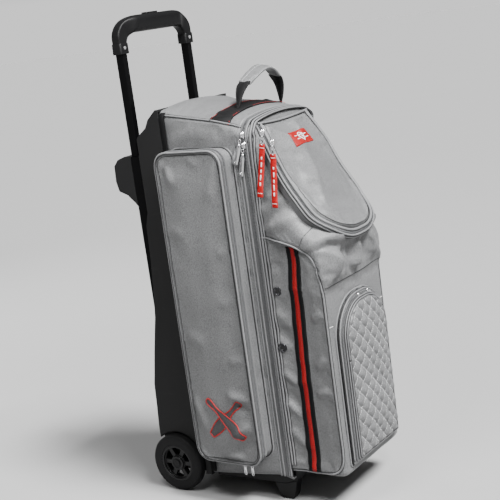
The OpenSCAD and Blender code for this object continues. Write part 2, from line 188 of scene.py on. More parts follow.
class Shape:
    """A mesh being drawn, in millimetres."""

    def __init__(self):
        self.v = np.zeros((0, 3))
        self.f = []

    def add(self, points, faces):
        n = len(self.v)
        self.v = np.vstack([self.v, np.asarray(points, float).reshape(-1, 3)])
        self.f += [tuple(int(i) + n for i in face) for face in faces]
        return n

    def grid(self, points, wrap_u=False, wrap_v=False, flip=False):
        """Quads over points[u, v]."""
        points = np.asarray(points, float)
        nu, nv = points.shape[:2]
        faces = []
        for i in range(nu if wrap_u else nu - 1):
            for j in range(nv if wrap_v else nv - 1):
                i2, j2 = (i + 1) % nu, (j + 1) % nv
                face = (i * nv + j, i2 * nv + j, i2 * nv + j2, i * nv + j2)
                faces.append(face[::-1] if flip else face)
        return self.add(points, faces)

    def skin(self, rows, closed=False):
        """Surface over rings of points: joined end to end, or with a cap on both ends."""
        rows = np.asarray(rows, float)
        first = self.grid(rows, wrap_u=closed, wrap_v=True)
        if not closed:
            count = rows.shape[1]
            last = first + (len(rows) - 1) * count
            self.f.append(tuple(first + k for k in range(count)))
            self.f.append(tuple(last + count - 1 - k for k in range(count)))

    def tube(self, path, radius, sides, closed=False, flat=1.0, normals=None):
        """Round cord along a path; flat under 1 presses it towards the surface below."""
        path = np.asarray(path, float)
        t = tangents(path, closed)
        if normals is None:
            guide = np.array([0.31, 0.17, 0.93])
            normals = np.cross(np.cross(t, guide), t)
            for i in range(1, len(path)):
                n = normals[i - 1] - t[i] * np.dot(normals[i - 1], t[i])
                normals[i] = n if np.linalg.norm(n) > 1e-6 else normals[i]
        n = unit(normals)
        side = unit(np.cross(t, n))
        n = np.cross(side, t)
        angle = np.linspace(0, 2 * math.pi, sides, endpoint=False)
        ring = (n[:, None, :] * np.cos(angle)[None, :, None] * flat
                + side[:, None, :] * np.sin(angle)[None, :, None])
        self.skin(path[:, None, :] + ring * radius, closed)

    def strip(self, path, normals, width, thick, lift=0.0):
        """Flat band along a path, lying on the surface that the normals stand on."""
        path = np.asarray(path, float)
        n = unit(normals)
        side = unit(np.cross(tangents(path, False), n))
        w = np.broadcast_to(width, len(path))[:, None] / 2
        low, high = lift, lift + thick
        e = min(0.25 * thick, 0.4)
        half = [(-1, low, 0), (-1, high - e, 0), (-1, high, e)]
        rim = half + [(-s, up, inset) for s, up, inset in reversed(half)]
        self.skin(np.stack([path + side * (s * (w - inset)) + n * up for s, up, inset in rim], 1))

    def teeth(self, path, normals, pitch, size):
        """A row of zip teeth across a path."""
        spots = even(np.hstack([path, unit(normals)]), pitch)
        place, n = spots[:, :3], unit(spots[:, 3:])
        t = tangents(place, False)
        side = unit(np.cross(t, n))
        for c, a, b, up in zip(place, t, side, n):
            self.block(c + up * size[2] * 0.5, (a, b, up), size, 0.3)

    def block(self, centre, axes, size, taper):
        """Small block; its outer face is smaller by taper, so that its edges catch light."""
        a, b, up = (np.asarray(x, float) for x in axes)
        points = []
        for w, scale in ((-0.5, 1.0), (0.2, 1.0), (0.5, 1 - taper)):
            for u, v in ((-0.5, -0.5), (0.5, -0.5), (0.5, 0.5), (-0.5, 0.5)):
                points.append(centre + a * size[0] * u * scale + b * size[1] * v * scale + up * size[2] * w)
        faces = [(3, 2, 1, 0), (8, 9, 10, 11)]
        for k in (0, 4):
            faces += [(k + i, k + (i + 1) % 4, k + 4 + (i + 1) % 4, k + 4 + i) for i in range(4)]
        self.add(points, faces)

    def mirrored(self):
        """The same shape on the other side of the bag."""
        other = Shape()
        other.add(self.v * [-1, 1, 1], [f[::-1] for f in self.f])
        return other

    def turn_out(self):
        """Makes the faces look away from the middle of the bag, so that thickness grows inwards."""
        total = 0.0
        for face in self.f:
            p = self.v[list(face)]
            middle = p.mean(0)
            total += np.dot(np.cross(p[1] - p[0], p[-1] - p[0]), middle - BAG_MIDDLE)
        if total < 0:
            self.f = [face[::-1] for face in self.f]

    def tree(self):
        return BVHTree.FromPolygons([tuple(p) for p in self.v], self.f)

    def mesh(self, name):
        data = bpy.data.meshes.new(name)
        data.from_pydata([tuple(p) for p in self.v * 0.001], [], self.f)
        data.validate()
        return data

    def make(self, name, material, body, slot, stands_for=(), thick=0.0):
        """The finished piece on its body."""
        if thick:
            self.turn_out()
        obj = bpy.data.objects.new(name, self.mesh(name))
        SCENE.collection.objects.link(obj)
        obj.data.materials.append(material)
        for polygon in obj.data.polygons:
            polygon.use_smooth = True
        if thick:
            solid = obj.modifiers.new("thickness", "SOLIDIFY")
            solid.thickness = thick * 0.001
            solid.offset = -1
        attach(obj, body)
        if stands_for:
            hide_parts(*stands_for)
        return obj


def lay_on(tree, points, direction, lift=0.0):
    """Points moved along direction until they meet the surface, with the surface's normals there."""
    d = Vector(direction).normalized()
    found, normals = [], []
    for p in np.asarray(points, float):
        start = Vector(p) - d * 200
        hit, normal, _, _ = tree.ray_cast(start, d)
        if hit is None:
            hit, normal, _, _ = tree.find_nearest(Vector(p))
        if normal.dot(d) > 0:
            normal = -normal
        found.append(np.array(hit) + np.array(normal) * lift)
        normals.append(np.array(normal))
    n = np.array(normals)
    for _ in range(3):
        n = unit(np.vstack([n[:1], (n[:-2] + n[1:-1] + n[2:]) / 3, n[-1:]]) if len(n) > 2 else n)
    return np.array(found), n


CLOTH = {"vertex_group_mass": "seams", "quality": 6, "mass": 0.25, "tension_stiffness": 12,
         "compression_stiffness": 12, "shear_stiffness": 5, "bending_stiffness": 1.2, "use_pressure": True}
FRAMES = 18


def settle(shape, held, pressure, spare, cap):
    """Cloth simulation of the fabric between its held seams; it moves by at most cap millimetres."""
    obj = bpy.data.objects.new("settling", shape.mesh("settling"))
    SCENE.collection.objects.link(obj)
    seams = obj.vertex_groups.new(name="seams")
    seams.add([int(i) for i in np.nonzero(held)[0]], 1.0, "REPLACE")
    cloth = obj.modifiers.new("cloth", "CLOTH")
    for name, value in CLOTH.items():
        setattr(cloth.settings, name, value)
    cloth.settings.uniform_pressure_force = pressure
    cloth.settings.shrink_min = -spare
    cloth.settings.effector_weights.gravity = 0
    cloth.point_cache.frame_start = 1
    cloth.point_cache.frame_end = FRAMES
    for number in range(1, FRAMES + 1):
        SCENE.frame_set(number)
    settled = obj.evaluated_get(bpy.context.evaluated_depsgraph_get()).data.vertices
    co = np.zeros(len(settled) * 3)
    settled.foreach_get("co", co)
    move = co.reshape(-1, 3) * 1000 - shape.v
    far = np.maximum(np.linalg.norm(move, axis=1), 1e-6)
    shape.v = shape.v + move * (cap * np.tanh(far / cap) / far)[:, None]
    bpy.data.objects.remove(obj)
    SCENE.frame_set(1)


def on_side(tree, side, y, z, lift=0.0):
    """Points at (y, z) on the left (-1) or right (1) side of a surface, with its normals there."""
    return lay_on(tree, at(side * HALF_W, y, z), (-side, 0, 0), lift)


def on_front(tree, x, z, lift=0.0, y=FRONT_Y):
    """Points at (x, z) on the front of a surface, with its normals there."""
    return lay_on(tree, at(x, y, z), (0, 1, 0), lift)


def flat_panel(outline, columns, rows):
    """Grid that fills a convex 2-D outline row by row, and each point's distance from the edge."""
    outline = np.asarray(outline, float)
    low, high = outline[:, 1].min(), outline[:, 1].max()
    t = 0.5 - 0.5 * np.cos(np.linspace(0, math.pi, rows))
    t = 0.35 * t + 0.65 * np.linspace(0, 1, rows)
    heights = low + (high - low) * t
    ring = np.vstack([outline, outline[:1]])
    grid = np.zeros((rows, columns, 2))
    for i, h in enumerate(np.clip(heights, low + 0.02, high - 0.02)):
        a, b = ring[:-1], ring[1:]
        crossing = (a[:, 1] - h) * (b[:, 1] - h) <= 0
        crossing &= np.abs(b[:, 1] - a[:, 1]) > 1e-9
        k = (h - a[crossing, 1]) / (b[crossing, 1] - a[crossing, 1])
        xs = a[crossing, 0] + k * (b[crossing, 0] - a[crossing, 0])
        u = np.linspace(-1, 1, columns)
        u = 0.75 * u + 0.25 * np.sin(u * math.pi / 2)
        grid[i, :, 0] = (xs.min() + xs.max()) / 2 + u * (xs.max() - xs.min()) / 2
        grid[i, :, 1] = h
    flat = grid.reshape(-1, 2)
    dense = even(outline, 2.0, True)
    gap = np.min(np.linalg.norm(flat[:, None, :] - dense[None, :, :], axis=2), axis=1)
    return grid, gap.reshape(rows, columns)


# ---- materials

class Finish:
    """A procedural material being wired up; coordinates are object space, in metres."""

    def __init__(self, name, color, roughness):
        self.mat = bpy.data.materials.new(name)
        self.mat.use_nodes = True
        self.tree = self.mat.node_tree
        self.shader = self.tree.nodes["Principled BSDF"]
        self.shader.inputs["Base Color"].default_value = (*color, 1)
        self.shader.inputs["Roughness"].default_value = roughness
        self.where = self.tree.nodes.new("ShaderNodeTexCoord").outputs["Object"]

    def math(self, operation, *values):
        node = self.tree.nodes.new("ShaderNodeMath")
        node.operation = operation
        for socket, value in zip(node.inputs, values):
            self.put(socket, value)
        return node.outputs[0]

    def put(self, socket, value):
        if isinstance(value, bpy.types.NodeSocket):
            self.tree.links.new(value, socket)
        else:
            socket.default_value = value

    def noise(self, scale, detail, stretch=(1, 1, 1)):
        spread = self.tree.nodes.new("ShaderNodeMapping")
        spread.inputs["Scale"].default_value = stretch
        self.put(spread.inputs["Vector"], self.where)
        node = self.tree.nodes.new("ShaderNodeTexNoise")
        self.put(node.inputs["Vector"], spread.outputs[0])
        node.inputs["Scale"].default_value = scale
        node.inputs["Detail"].default_value = detail
        return node.outputs["Fac"]

    def wave(self, direction, pitch):
        """Sine along a direction, with its period in metres, from 0 to 1."""
        dot = self.tree.nodes.new("ShaderNodeVectorMath")
        dot.operation = "DOT_PRODUCT"
        self.put(dot.inputs[0], self.where)
        dot.inputs[1].default_value = Vector(direction) * (2 * math.pi / pitch)
        sine = self.math("SINE", dot.outputs["Value"])
        return self.math("MULTIPLY_ADD", sine, 0.5, 0.5)

    def ramp(self, value, *stops):
        node = self.tree.nodes.new("ShaderNodeValToRGB")
        marks = node.color_ramp.elements
        while len(marks) < len(stops):
            marks.new(0.5)
        for mark, (place, color) in zip(marks, stops):
            mark.position = place
            mark.color = (*color, 1) if len(color) == 3 else color
        self.put(node.inputs[0], value)
        return node.outputs["Color"]

    def mix(self, share, a, b, blend="MIX"):
        node = self.tree.nodes.new("ShaderNodeMix")
        node.data_type = "RGBA"
        node.blend_type = blend
        self.put(node.inputs[0], share)
        self.put(node.inputs[6], (*a, 1) if isinstance(a, tuple) else a)
        self.put(node.inputs[7], (*b, 1) if isinstance(b, tuple) else b)
        return node.outputs[2]

    def color(self, value):
        self.put(self.shader.inputs["Base Color"], value)

    def rough(self, value, low, high):
        self.put(self.shader.inputs["Roughness"], self.math("MULTIPLY_ADD", value, high - low, low))

    def bump(self, height, strength, distance, under=None):
        node = self.tree.nodes.new("ShaderNodeBump")
        node.inputs["Strength"].default_value = strength
        node.inputs["Distance"].default_value = distance
        self.put(node.inputs["Height"], height)
        if under is not None:
            self.put(node.inputs["Normal"], under)
        self.put(self.shader.inputs["Normal"], node.outputs[0])
        return node.outputs[0]

    def set(self, **values):
        for name, value in values.items():
            self.shader.inputs[name.replace("_", " ")].default_value = value


def scaled(color, k):
    """The colour made lighter or darker."""
    return tuple(min(1.0, c * k) for c in color)


def woven(name, color, pitch=0.0011, contrast=0.42, sheen=0.03):
    """Plain-woven polyester: fine crossing threads, speckled yarn and a soft, uneven tone."""
    m = Finish(name, color, 0.78)
    warp = m.wave((0.9, 0.9, 0.25), pitch)
    weft = m.wave((0.25, -0.25, 1.0), pitch)
    weave = m.math("MULTIPLY", warp, weft)
    speck = m.noise(640, 2.0, (1, 1, 0.6))
    tone = m.noise(16, 4.0)
    dark, pale = scaled(color, 1 - contrast), scaled(color, 1 + contrast)
    yarn = m.ramp(speck, (0.3, dark), (0.5, color), (0.72, pale))
    patch = m.ramp(tone, (0.3, (0.86, 0.86, 0.86)), (0.7, (1.0, 1.0, 1.0)))
    base = m.mix(1.0, yarn, patch, "MULTIPLY")
    m.color(m.mix(m.math("MULTIPLY", weave, 0.22), base, scaled(color, 1.3)))
    m.rough(speck, 0.4, 0.56)
    cloth = m.bump(m.noise(60, 2.0), 0.1, 0.001)
    m.bump(weave, 0.35, 0.00035, cloth)
    m.set(Sheen_Weight=sheen, Sheen_Roughness=0.45, Specular_IOR_Level=0.34)
    return m.mat


def webbing(name, color, across, pitch, shine, gloss=0.2):
    """Ribbed webbing whose ribs run across the given direction."""
    m = Finish(name, color, shine)
    rib = m.wave(across, pitch)
    fine = m.noise(900, 2.0)
    yarn = m.ramp(fine, (0.3, scaled(color, 0.9)), (0.7, scaled(color, 1.7)))
    m.color(m.mix(rib, scaled(color, 0.55), yarn))
    m.rough(fine, shine - 0.1, shine + 0.15)
    grain = m.bump(fine, 0.25, 0.0003)
    m.bump(rib, 0.6, 0.0005, grain)
    m.set(Specular_IOR_Level=gloss)
    return m.mat


def plastic(name, color, low, high, grain, depth, gloss=0.4):
    """Moulded plastic with a fine grain, faint scuffs and an uneven gloss."""
    m = Finish(name, color, low)
    cells = m.noise(grain, 3.0)
    cloud = m.noise(9, 5.0)
    scuff = m.math("GREATER_THAN", m.noise(75, 6.0, (1, 0.35, 1)), 0.66)
    base = m.mix(cloud, scaled(color, 0.8), scaled(color, 1.25))
    m.color(m.mix(m.math("MULTIPLY", scuff, 0.16), base, scaled(color, 2.4)))
    m.rough(m.mix(0.5, cells, cloud), low, high)
    m.bump(cells, 0.35, depth)
    m.set(Specular_IOR_Level=gloss)
    return m.mat


def metal(name, color, low, high, scratch=(1, 1, 0.06), metallic=1.0, gloss=0.5):
    """Metal with fine scratches along one direction and finger marks."""
    m = Finish(name, color, low)
    lines = m.noise(1400, 3.0, scratch)
    cloud = m.noise(55, 4.0)
    m.color(m.mix(cloud, scaled(color, 0.82), scaled(color, 1.08)))
    m.rough(m.mix(0.45, lines, cloud), low, high)
    m.bump(lines, 0.08, 0.0001)
    m.set(Metallic=metallic, Specular_IOR_Level=gloss)
    return m.mat


def rubber(name, color):
    """Matt rubber with a little dust on it."""
    m = Finish(name, color, 0.6)
    m.set(Specular_IOR_Level=0.12)
    cells = m.noise(260, 4.0)
    dust = m.noise(38, 5.0)
    m.color(m.mix(m.math("MULTIPLY", dust, 0.5), color, scaled(color, 2.6)))
    m.rough(dust, 0.5, 0.8)
    m.bump(cells, 0.35, 0.0004)
    return m.mat


def foam(name, color):
    """Moulded foam: open cells over a soft unevenness."""
    m = Finish(name, color, 0.95)
    cells = m.noise(520, 2.0)
    m.color(m.ramp(cells, (0.3, scaled(color, 0.6)), (0.7, scaled(color, 1.35))))
    m.rough(m.noise(60, 2.0), 0.85, 1.0)
    soft = m.bump(m.noise(40, 3.0), 0.2, 0.002)
    m.bump(cells, 0.7, 0.0008, soft)
    return m.mat


GREY = (0.098, 0.099, 0.1005)
FABRIC = woven("grey_fabric", GREY)
FABRIC_PIPING = woven("grey_piping", (0.125, 0.126, 0.129), 0.0008, 0.2, 0.05)
LINING = woven("black_lining", (0.012, 0.012, 0.0125), 0.0009, 0.3, 0.03)
# near-black cords beside the piping and along seams: partly the dark edge of the seam tape, partly painted
# shade in the seam grooves
SEAM_TAPE_AND_SHADE = woven("seam_tape_and_painted_shade", (0.009, 0.009, 0.0095), 0.0007, 0.25, 0.02)
BLACK_WEB = webbing("black_webbing", (0.004, 0.004, 0.0043), (0, 0.5, 1), 0.0016, 0.6, 0.08)
STRAP_WEB = webbing("black_strap_webbing", (0.005, 0.005, 0.0053), (1, 0, 0.4), 0.0016, 0.55, 0.12)
RED_WEB = webbing("red_webbing", (0.2, 0.001, 0.002), (0, 0.2, 1), 0.0014, 0.5)
RED_SATIN = webbing("red_ribbon", (0.3, 0.001, 0.002), (0, 0.2, 1), 0.0009, 0.42)
RED_PATCH = woven("red_patch", (0.2, 0.001, 0.001), 0.0008, 0.12, 0.0)
WHITE_THREAD = woven("white_thread", (0.6, 0.6, 0.59), 0.0005, 0.1, 0.3)
GREY_THREAD = woven("grey_thread", (0.36, 0.362, 0.367), 0.0005, 0.1, 0.3)
DARK_THREAD = woven("dark_thread", (0.03, 0.03, 0.0315), 0.0005, 0.2, 0.02)
RED_THREAD = woven("red_thread", (0.3, 0.001, 0.002), 0.0005, 0.16, 0.0)
ZIP_COIL = plastic("zip_coil", (0.055, 0.056, 0.058), 0.3, 0.5, 900, 0.0001)
ZIP_TAPE = woven("zip_tape", (0.07, 0.071, 0.073), 0.0007, 0.2, 0.15)
SHELL = plastic("shell_plastic", (0.0075, 0.0075, 0.0077), 0.5, 0.68, 480, 0.0004, 0.15)
TRIM = plastic("trim_plastic", (0.004, 0.004, 0.0042), 0.36, 0.52, 600, 0.0002, 0.15)
GRIP = plastic("grip_plastic", (0.004, 0.004, 0.0042), 0.34, 0.5, 700, 0.0003, 0.1)
TUBE = metal("tube_black", (0.0018, 0.0018, 0.002), 0.14, 0.24, (1, 1, 0.04), 0.0, 0.04)
ZINC = metal("zinc", (0.66, 0.66, 0.67), 0.14, 0.3)
STEEL = metal("steel", (0.5, 0.5, 0.52), 0.25, 0.45)
DARK_METAL = metal("dark_eyelet", (0.05, 0.05, 0.053), 0.18, 0.35)
TYRE = rubber("tyre_rubber", (0.005, 0.005, 0.0052))
RIM = plastic("rim_plastic", (0.004, 0.004, 0.0042), 0.24, 0.38, 500, 0.0002, 0.2)
FOAM = foam("foam", (0.045, 0.046, 0.05))
BOARD = plastic("board", (0.03, 0.03, 0.032), 0.6, 0.85, 260, 0.0004)


# ---- rigid CAD parts keep their shape and get their finish and rounded edges

def finish_node(name, material, edge, steps):
    """Gives a CAD node its finish; with an edge its edges are rounded and shaded smooth."""
    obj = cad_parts[name]
    obj.data.materials.clear()
    obj.data.materials.append(material)
    if not edge:
        return
    weld = obj.modifiers.new("weld", "WELD")
    weld.merge_threshold = 0.00002
    bevel = obj.modifiers.new("edges", "BEVEL")
    bevel.width = edge * 0.001
    bevel.segments = steps
    bevel.limit_method = "ANGLE"
    bevel.angle_limit = math.radians(38)
    bevel.harden_normals = False
    obj.data.polygons.foreach_set("use_smooth", [True] * len(obj.data.polygons))
    weighted = obj.modifiers.new("shading", "WEIGHTED_NORMAL")
    weighted.keep_sharp = False
    weighted.weight = 80


# finish, radius of the rounded edges, their steps, and the nodes that get them
RIGID = [
    (SHELL, 5.0, 4, ["back_shell"]),
    (SHELL, 4.0, 4, ["handle_housing"]),
    (TRIM, 2.0, 3, ["base_tray"]),
    (STEEL, 0.8, 3, ["tube_bracket"]),
    (STEEL, 0.6, 3, ["shell_screws"]),
    (STEEL, 0.0, 3, ["axle", "axle_spacers", "axle_clips"]),
    (BOARD, 0.0, 3, ["base_board"]),
    (BOARD, 0.8, 3, ["ball_shelf_lower", "ball_shelf_upper", "shoe_shelf"]),
    (TRIM, 0.4, 3, ["tube_plugs"]),
    (ZINC, 0.6, 3, ["grip_screws"]),
    (TRIM, 1.0, 3, ["grip_button"]),
    (FOAM, 2.5, 3, ["ball_cup_lower", "ball_cup_middle", "ball_cup_upper"]),
    (TRIM, 2.2, 3, ["front_foot_left", "front_foot_right"]),
    (TUBE, 1.4, 3, ["outer_tube_left", "outer_tube_right"]),
    (TUBE, 2.6, 4, ["inner_tube_left", "inner_tube_right"]),
    (RIM, 0.9, 3, ["rim_left", "rim_right"]),
    (TYRE, 0.8, 3, ["tyre_left", "tyre_right"]),
    (STEEL, 0.0, 3, ["bearings_left", "bearings_right"]),
    (TRIM, 0.7, 3, ["hub_cap_left", "hub_cap_right"]),
]


def rigid_parts():
    """Finishes of the parts whose CAD shape is shown as it is."""
    for material, edge, steps, names in RIGID:
        for name in names:
            finish_node(name, material, edge, steps)


# ---- ball compartment

def top_line(y):
    """Height of the case's top edges at each y."""
    return np.interp(y, [SEAM_Y, BREAK_Y, BACK_Y], [TOP_FRONT, TOP_FRONT + 8, TOP_BACK])


def bottom_line(y):
    """Height of the case's underside at each y."""
    return CASE_LOW[2] + np.interp(y, [SEAM_Y, BREAK_Y - 4, BACK_Y], [10, 18, 1])


def crowned(row, share, top):
    """Rise of a section's top, highest in its middle; it starts 9 mm below the top."""
    flat = np.clip(1 - (row[:, 0] / HALF_W) ** 2, 0, 1)
    return CROWN * share * flat * ease((row[:, 2] - top + 9) / 9)


def shoulder(y):
    """Radius of the top corners: wide at the zip, tight at the shell."""
    return float(np.interp(y, [SEAM_Y + 20, SEAM_Y + 75], [SHOULDER, 11.0]))


BELOW = 24             # points along the underside of a section


def section(y, top, bottom, half, r):
    """Upright section at one y: up the left side, over the top, down the right side, back below."""
    left = [(-half, z) for z in np.linspace(bottom + 4, top - r, 74)]
    turn = np.radians([12, 25, 38, 52, 65, 78])
    arc = [(-half + r - r * math.cos(a), top - r + r * math.sin(a)) for a in turn]
    across = [(x, top) for x in np.linspace(-half + r, half - r, 46)]
    right = [(-x, z) for x, z in reversed(left + arc)]
    below = [(x, bottom) for x in np.linspace(half - 4, 4 - half, BELOW)]
    return np.array([(x, y, z) for x, z in left + arc + across + right + below])


def case_rows():
    """The case from its back edge to the zip, as sections along y."""
    rows = []
    for y in np.linspace(BACK_Y + 4, SEAM_Y + 1.5, 62):
        row = section(y, top_line(y), bottom_line(y), HALF_W, shoulder(y))
        step = 4.5 * float(ease((y - 50) / 50)) * ease((row[:, 2] - top_line(y) + 9) / 9)
        row[:, 2] += crowned(row, np.interp(y, [30, BACK_Y], [1.0, 0.75]), top_line(y)) + step
        rows.append(row)
    return np.array(rows)


CASE_FOLDS = [(70, 756, 20, 800, 11, 2.6), (-30, 762, -78, 775, 9, 3.0), (-12, 800, -60, 757, 10, -2.8),
              (20, 765, -10, 790, 12, 2.2), (-66, 800, -88, 756, 8, 2.4)]


def ball_case():
    """Fabric of the ball compartment; its tree is what the seams and the strap lie on."""
    rows = case_rows()
    x, y, z = rows[..., 0], rows[..., 1], rows[..., 2]
    side = ease((np.abs(x) - HALF_W + 8) / 8)
    above = ease((z - 745) / 30) * ease((TOP_BACK - 12 - z) / 20)
    puff = 2.2 * side * np.sin(np.clip((y - SEAM_Y) / 205, 0, 1) * math.pi)
    x += np.sign(x) * (puff + ridges(y, z, CASE_FOLDS) * above * side)
    top = ease((z - top_line(y) + 4) / 5)
    z += top * 1.3 * ripple(x, y, 4, 90)
    shape = Shape()
    shape.grid(rows, wrap_v=True)
    x, y, z = shape.v.T
    sewn = (y < SEAM_Y + 28) | (y > BACK_Y - 8) | (z < bottom_line(y) + 8)
    edge = (np.abs(np.abs(x) - HALF_W + 3) < 6) & (z > top_line(y) - 12)
    settle(shape, sewn | edge, 2.2, 0.008, 4.0)
    shape.make("ball_case_fabric", FABRIC, "bag", "grey_fabric", ["body_case"], 3.0)
    return shape.tree()


def top_seams(case):
    """Piping along the two long edges of the top, and dark seams beside it."""
    cord, dark = Shape(), Shape()
    y = np.linspace(BACK_Y - 12, SEAM_Y + 16, 60)
    inward = 0.29 * np.array([shoulder(v) for v in y])
    for side in (-1, 1):
        path = at(side * (HALF_W - inward), y, top_line(y) - inward)
        path, normals = lay_on(case, path, (-side, 0, -0.8), 0.6)
        piping(cord, dark, path, normals, 1.7)
    cord.make("top_piping", FABRIC_PIPING, "bag", "grey_fabric")
    dark.make("top_seam", SEAM_TAPE_AND_SHADE, "bag", "grey_fabric")


def piping(cord, dark, path, normals, r, closed=False):
    """A fabric-covered cord along a seam, with a dark cord on both sides: partly the dark edge of its tape,
    partly painted shade in the seam groove.
    """
    cord.tube(path + normals * 0.35 * r, r, 8, closed)
    t = tangents(path, closed)
    side = unit(np.cross(t, normals))
    # painted shade: these dark cords stand for the shaded groove beside the cord as well as the tape's dark
    # edge
    for s in (-1, 1):
        dark.tube(path + side * s * (r + 0.7) + normals * 0.15, 0.85, 5, closed)


def stitches(shape, path, normals, length, gap, r=0.42):
    """A dashed line of thread on a surface."""
    line = even(np.hstack([path, normals]), 1.0)
    period = length + gap
    for i in range(int(len(line) / period)):
        first = int(i * period)
        part = line[first:first + int(round(length)) + 1]
        if len(part) > 2:
            lift = np.full(len(part), 0.25 * r)
            lift[0] = lift[-1] = -0.4
            shape.tube(part[:, :3] + part[:, 3:] * lift[:, None], r, 5)


def shell_edge():
    """Bound edge where the fabric is sewn to the shell."""
    band, thread = Shape(), Shape()
    y = BACK_Y - 5.5
    row = section(y, top_line(y) + 1.5, 47, HALF_W + 5.4, 13)
    flat = np.clip(1 - (row[:, 0] / HALF_W) ** 2, 0, 1)
    row[:, 2] += 6.0 * flat * ease((row[:, 2] - 812) / 9)
    path = even(row[:-BELOW], 6)
    upright = (np.abs(path[:, 0]) > HALF_W) & (path[:, 2] < 800)
    out = relaxed(unit(at(np.where(upright, path[:, 0], 0.02 * path[:, 0]), 0, ~upright)), 4)
    band.strip(path, out, 12.5, 3.0, lift=-1.5)
    stitches(thread, path + [0, -4.2, 0], out, 3.0, 1.6)
    band.make("shell_edge_binding", BLACK_WEB, "bag", "black_webbing", ["shell_binding"])
    thread.make("shell_edge_stitches", LINING, "bag", "black_webbing")


def strap_base(case):
    """Black webbing across the top under the carry strap, with red stitching along both edges."""
    band, thread = Shape(), Shape()
    y, width, thick = -38.0, 46.0, 2.0
    x = np.linspace(4 - HALF_W, HALF_W - 4, 70)
    middle, normals = lay_on(case, at(x, y, 830), (0, 0, -1))
    band.strip(middle, normals, width, thick)
    for edge in (-1, 1):
        line = middle + [0, edge * (width / 2 - 3.2), 30]
        on, n = lay_on(case, line, (0, 0, -1), thick + 0.1)
        stitches(thread, on, n, 3.4, 3.2, 0.6)
    band.make("strap_base_webbing", STRAP_WEB, "bag", "black_webbing", ["strap_base"])
    thread.make("strap_base_stitches", RED_THREAD, "bag", "red_fabric")


def over_the_top(y, low):
    """Line up the left side, over the top and down the right side at one y, with outward normals."""
    row = section(y, top_line(y), low, HALF_W, SHOULDER)
    row[:, 2] += crowned(row, 1.0, top_line(y))
    path = even(row[:-BELOW], 4)
    turned = np.clip((np.abs(path[:, 0]) - HALF_W + SHOULDER) / SHOULDER, 0, 1)
    out = at(np.sign(path[:, 0]) * turned, 0, np.sqrt(1.0001 - turned**2))
    return path, relaxed(unit(out))


def relaxed(out, times=3):
    """Directions averaged with their neighbours along a line."""
    for _ in range(times):
        out = unit(np.vstack([out[:1], out[:-2] + out[1:-1] + out[2:], out[-1:]]))
    return out


def main_zip():
    """Coil of the main zip and the piping beside it, down both sides and across the crowned top."""
    cord, dark, coil, tape = Shape(), Shape(), Shape(), Shape()
    path, out = over_the_top(SEAM_Y + 9, CASE_LOW[2] + 14)
    tape.strip(path, out, 14.5, 1.0, lift=0.4)
    coil.teeth(path + out * 1.2 + [0, -1.5, 0], out, 2.9, (1.5, 5.2, 1.9))
    rise = np.clip(path[:, 2] - 770, 0, 20) / 20      # the top rises towards the back
    for back, up, r in ((9.6, 0.7, 2.2), (17.5, 1.6, 1.7), (-7.2, 0.0, 1.7)):
        piping(cord, dark, path + at(0, back, up * rise), out, r)
    tape.make("main_zip_tape", ZIP_TAPE, "bag", "zip_tape", ["main_zip_track"])
    coil.make("main_zip_coil", ZIP_COIL, "bag", "zip_tape")
    cord.make("main_zip_piping", FABRIC_PIPING, "bag", "grey_fabric")
    dark.make("main_zip_seam", SEAM_TAPE_AND_SHADE, "bag", "grey_fabric")


# ---- side pockets: drawn on the right side and mirrored for the left

RING = 320             # points round every ring of a side pocket
FACE_X = POCKET_LOW[0]
SPLIT_X = FACE_X - 11  # where the zip divides the pocket's edge from its gusset
HINGE_Y = POCKET_HIGH[1] - 6   # the rings' points behind this lie on the hinge
POCKET_FOLDS = [
    (-58, 240, 6, 250, 9, 7.5), (-60, 214, -8, 230, 8, -6.0), (-60, 196, 12, 146, 11, 8.0),
    (-58, 170, 6, 112, 8, -6.5), (88, 745, 50, 676, 10, 7.0), (70, 748, 84, 690, 8, -5.4),
    (-52, 742, -20, 640, 12, 5.0), (88, 380, 30, 350, 14, 4.0), (-60, 460, -10, 436, 13, 3.6),
    (92, 600, 40, 580, 12, 3.6), (-60, 330, -14, 318, 9, 4.2), (-60, 560, -24, 540, 10, 3.6),
    (92, 250, 60, 150, 11, 5.0), (-30, 108, 40, 118, 8, 4.5), (20, 750, -10, 716, 11, 4.0)]


def pocket_outline(inset, count=0):
    """Outline of the pocket's face as (y, z), drawn in by inset."""
    low = (POCKET_LOW[1] + inset, POCKET_LOW[2] + inset)
    high = (POCKET_HIGH[1] - inset, POCKET_HIGH[2] - inset)
    return round_rect(low, high, max(4.0, 28 - inset), 4.0, count)


def gusset_ring(x, inset=0.0):
    """The pocket's outline at one distance from the bag's middle."""
    outline = pocket_outline(inset, RING)
    return at(x, outline[:, 0], outline[:, 1])


def flared(ring, share=0.0):
    """Outward directions round a ring, turned by a share towards the pocket's face."""
    return unit(np.column_stack([np.full(len(ring), share), outline_normals(ring)]))


def zip_points():
    """Numbers of the ring points that the zip runs over, from one end to the other."""
    keep = np.nonzero(gusset_ring(FACE_X)[:, 1] < HINGE_Y)[0]
    start = keep[np.argmax(np.diff(np.concatenate([[keep[-1] - RING], keep])) > 1)]
    return [(start + k) % RING for k in range(len(keep))]


def pocket_face():
    """Crowned face of the pocket with its folds."""
    grid, gap = flat_panel(pocket_outline(0.6), 34, 110)
    y, z = grid[..., 0], grid[..., 1]
    crown = 5.5 * ease(gap / 60) + 2.2 * ease(gap / 12)
    uneven = ridges(y, z, POCKET_FOLDS) + 2.4 * ripple(y, z, 11, 110)
    panel = Shape()
    panel.grid(at(FACE_X + 2.2 + crown + uneven * ease(gap / 14), y, z))
    settle(panel, gap.reshape(-1) < 3.0, 3.0, 0.012, 5.0)
    return panel


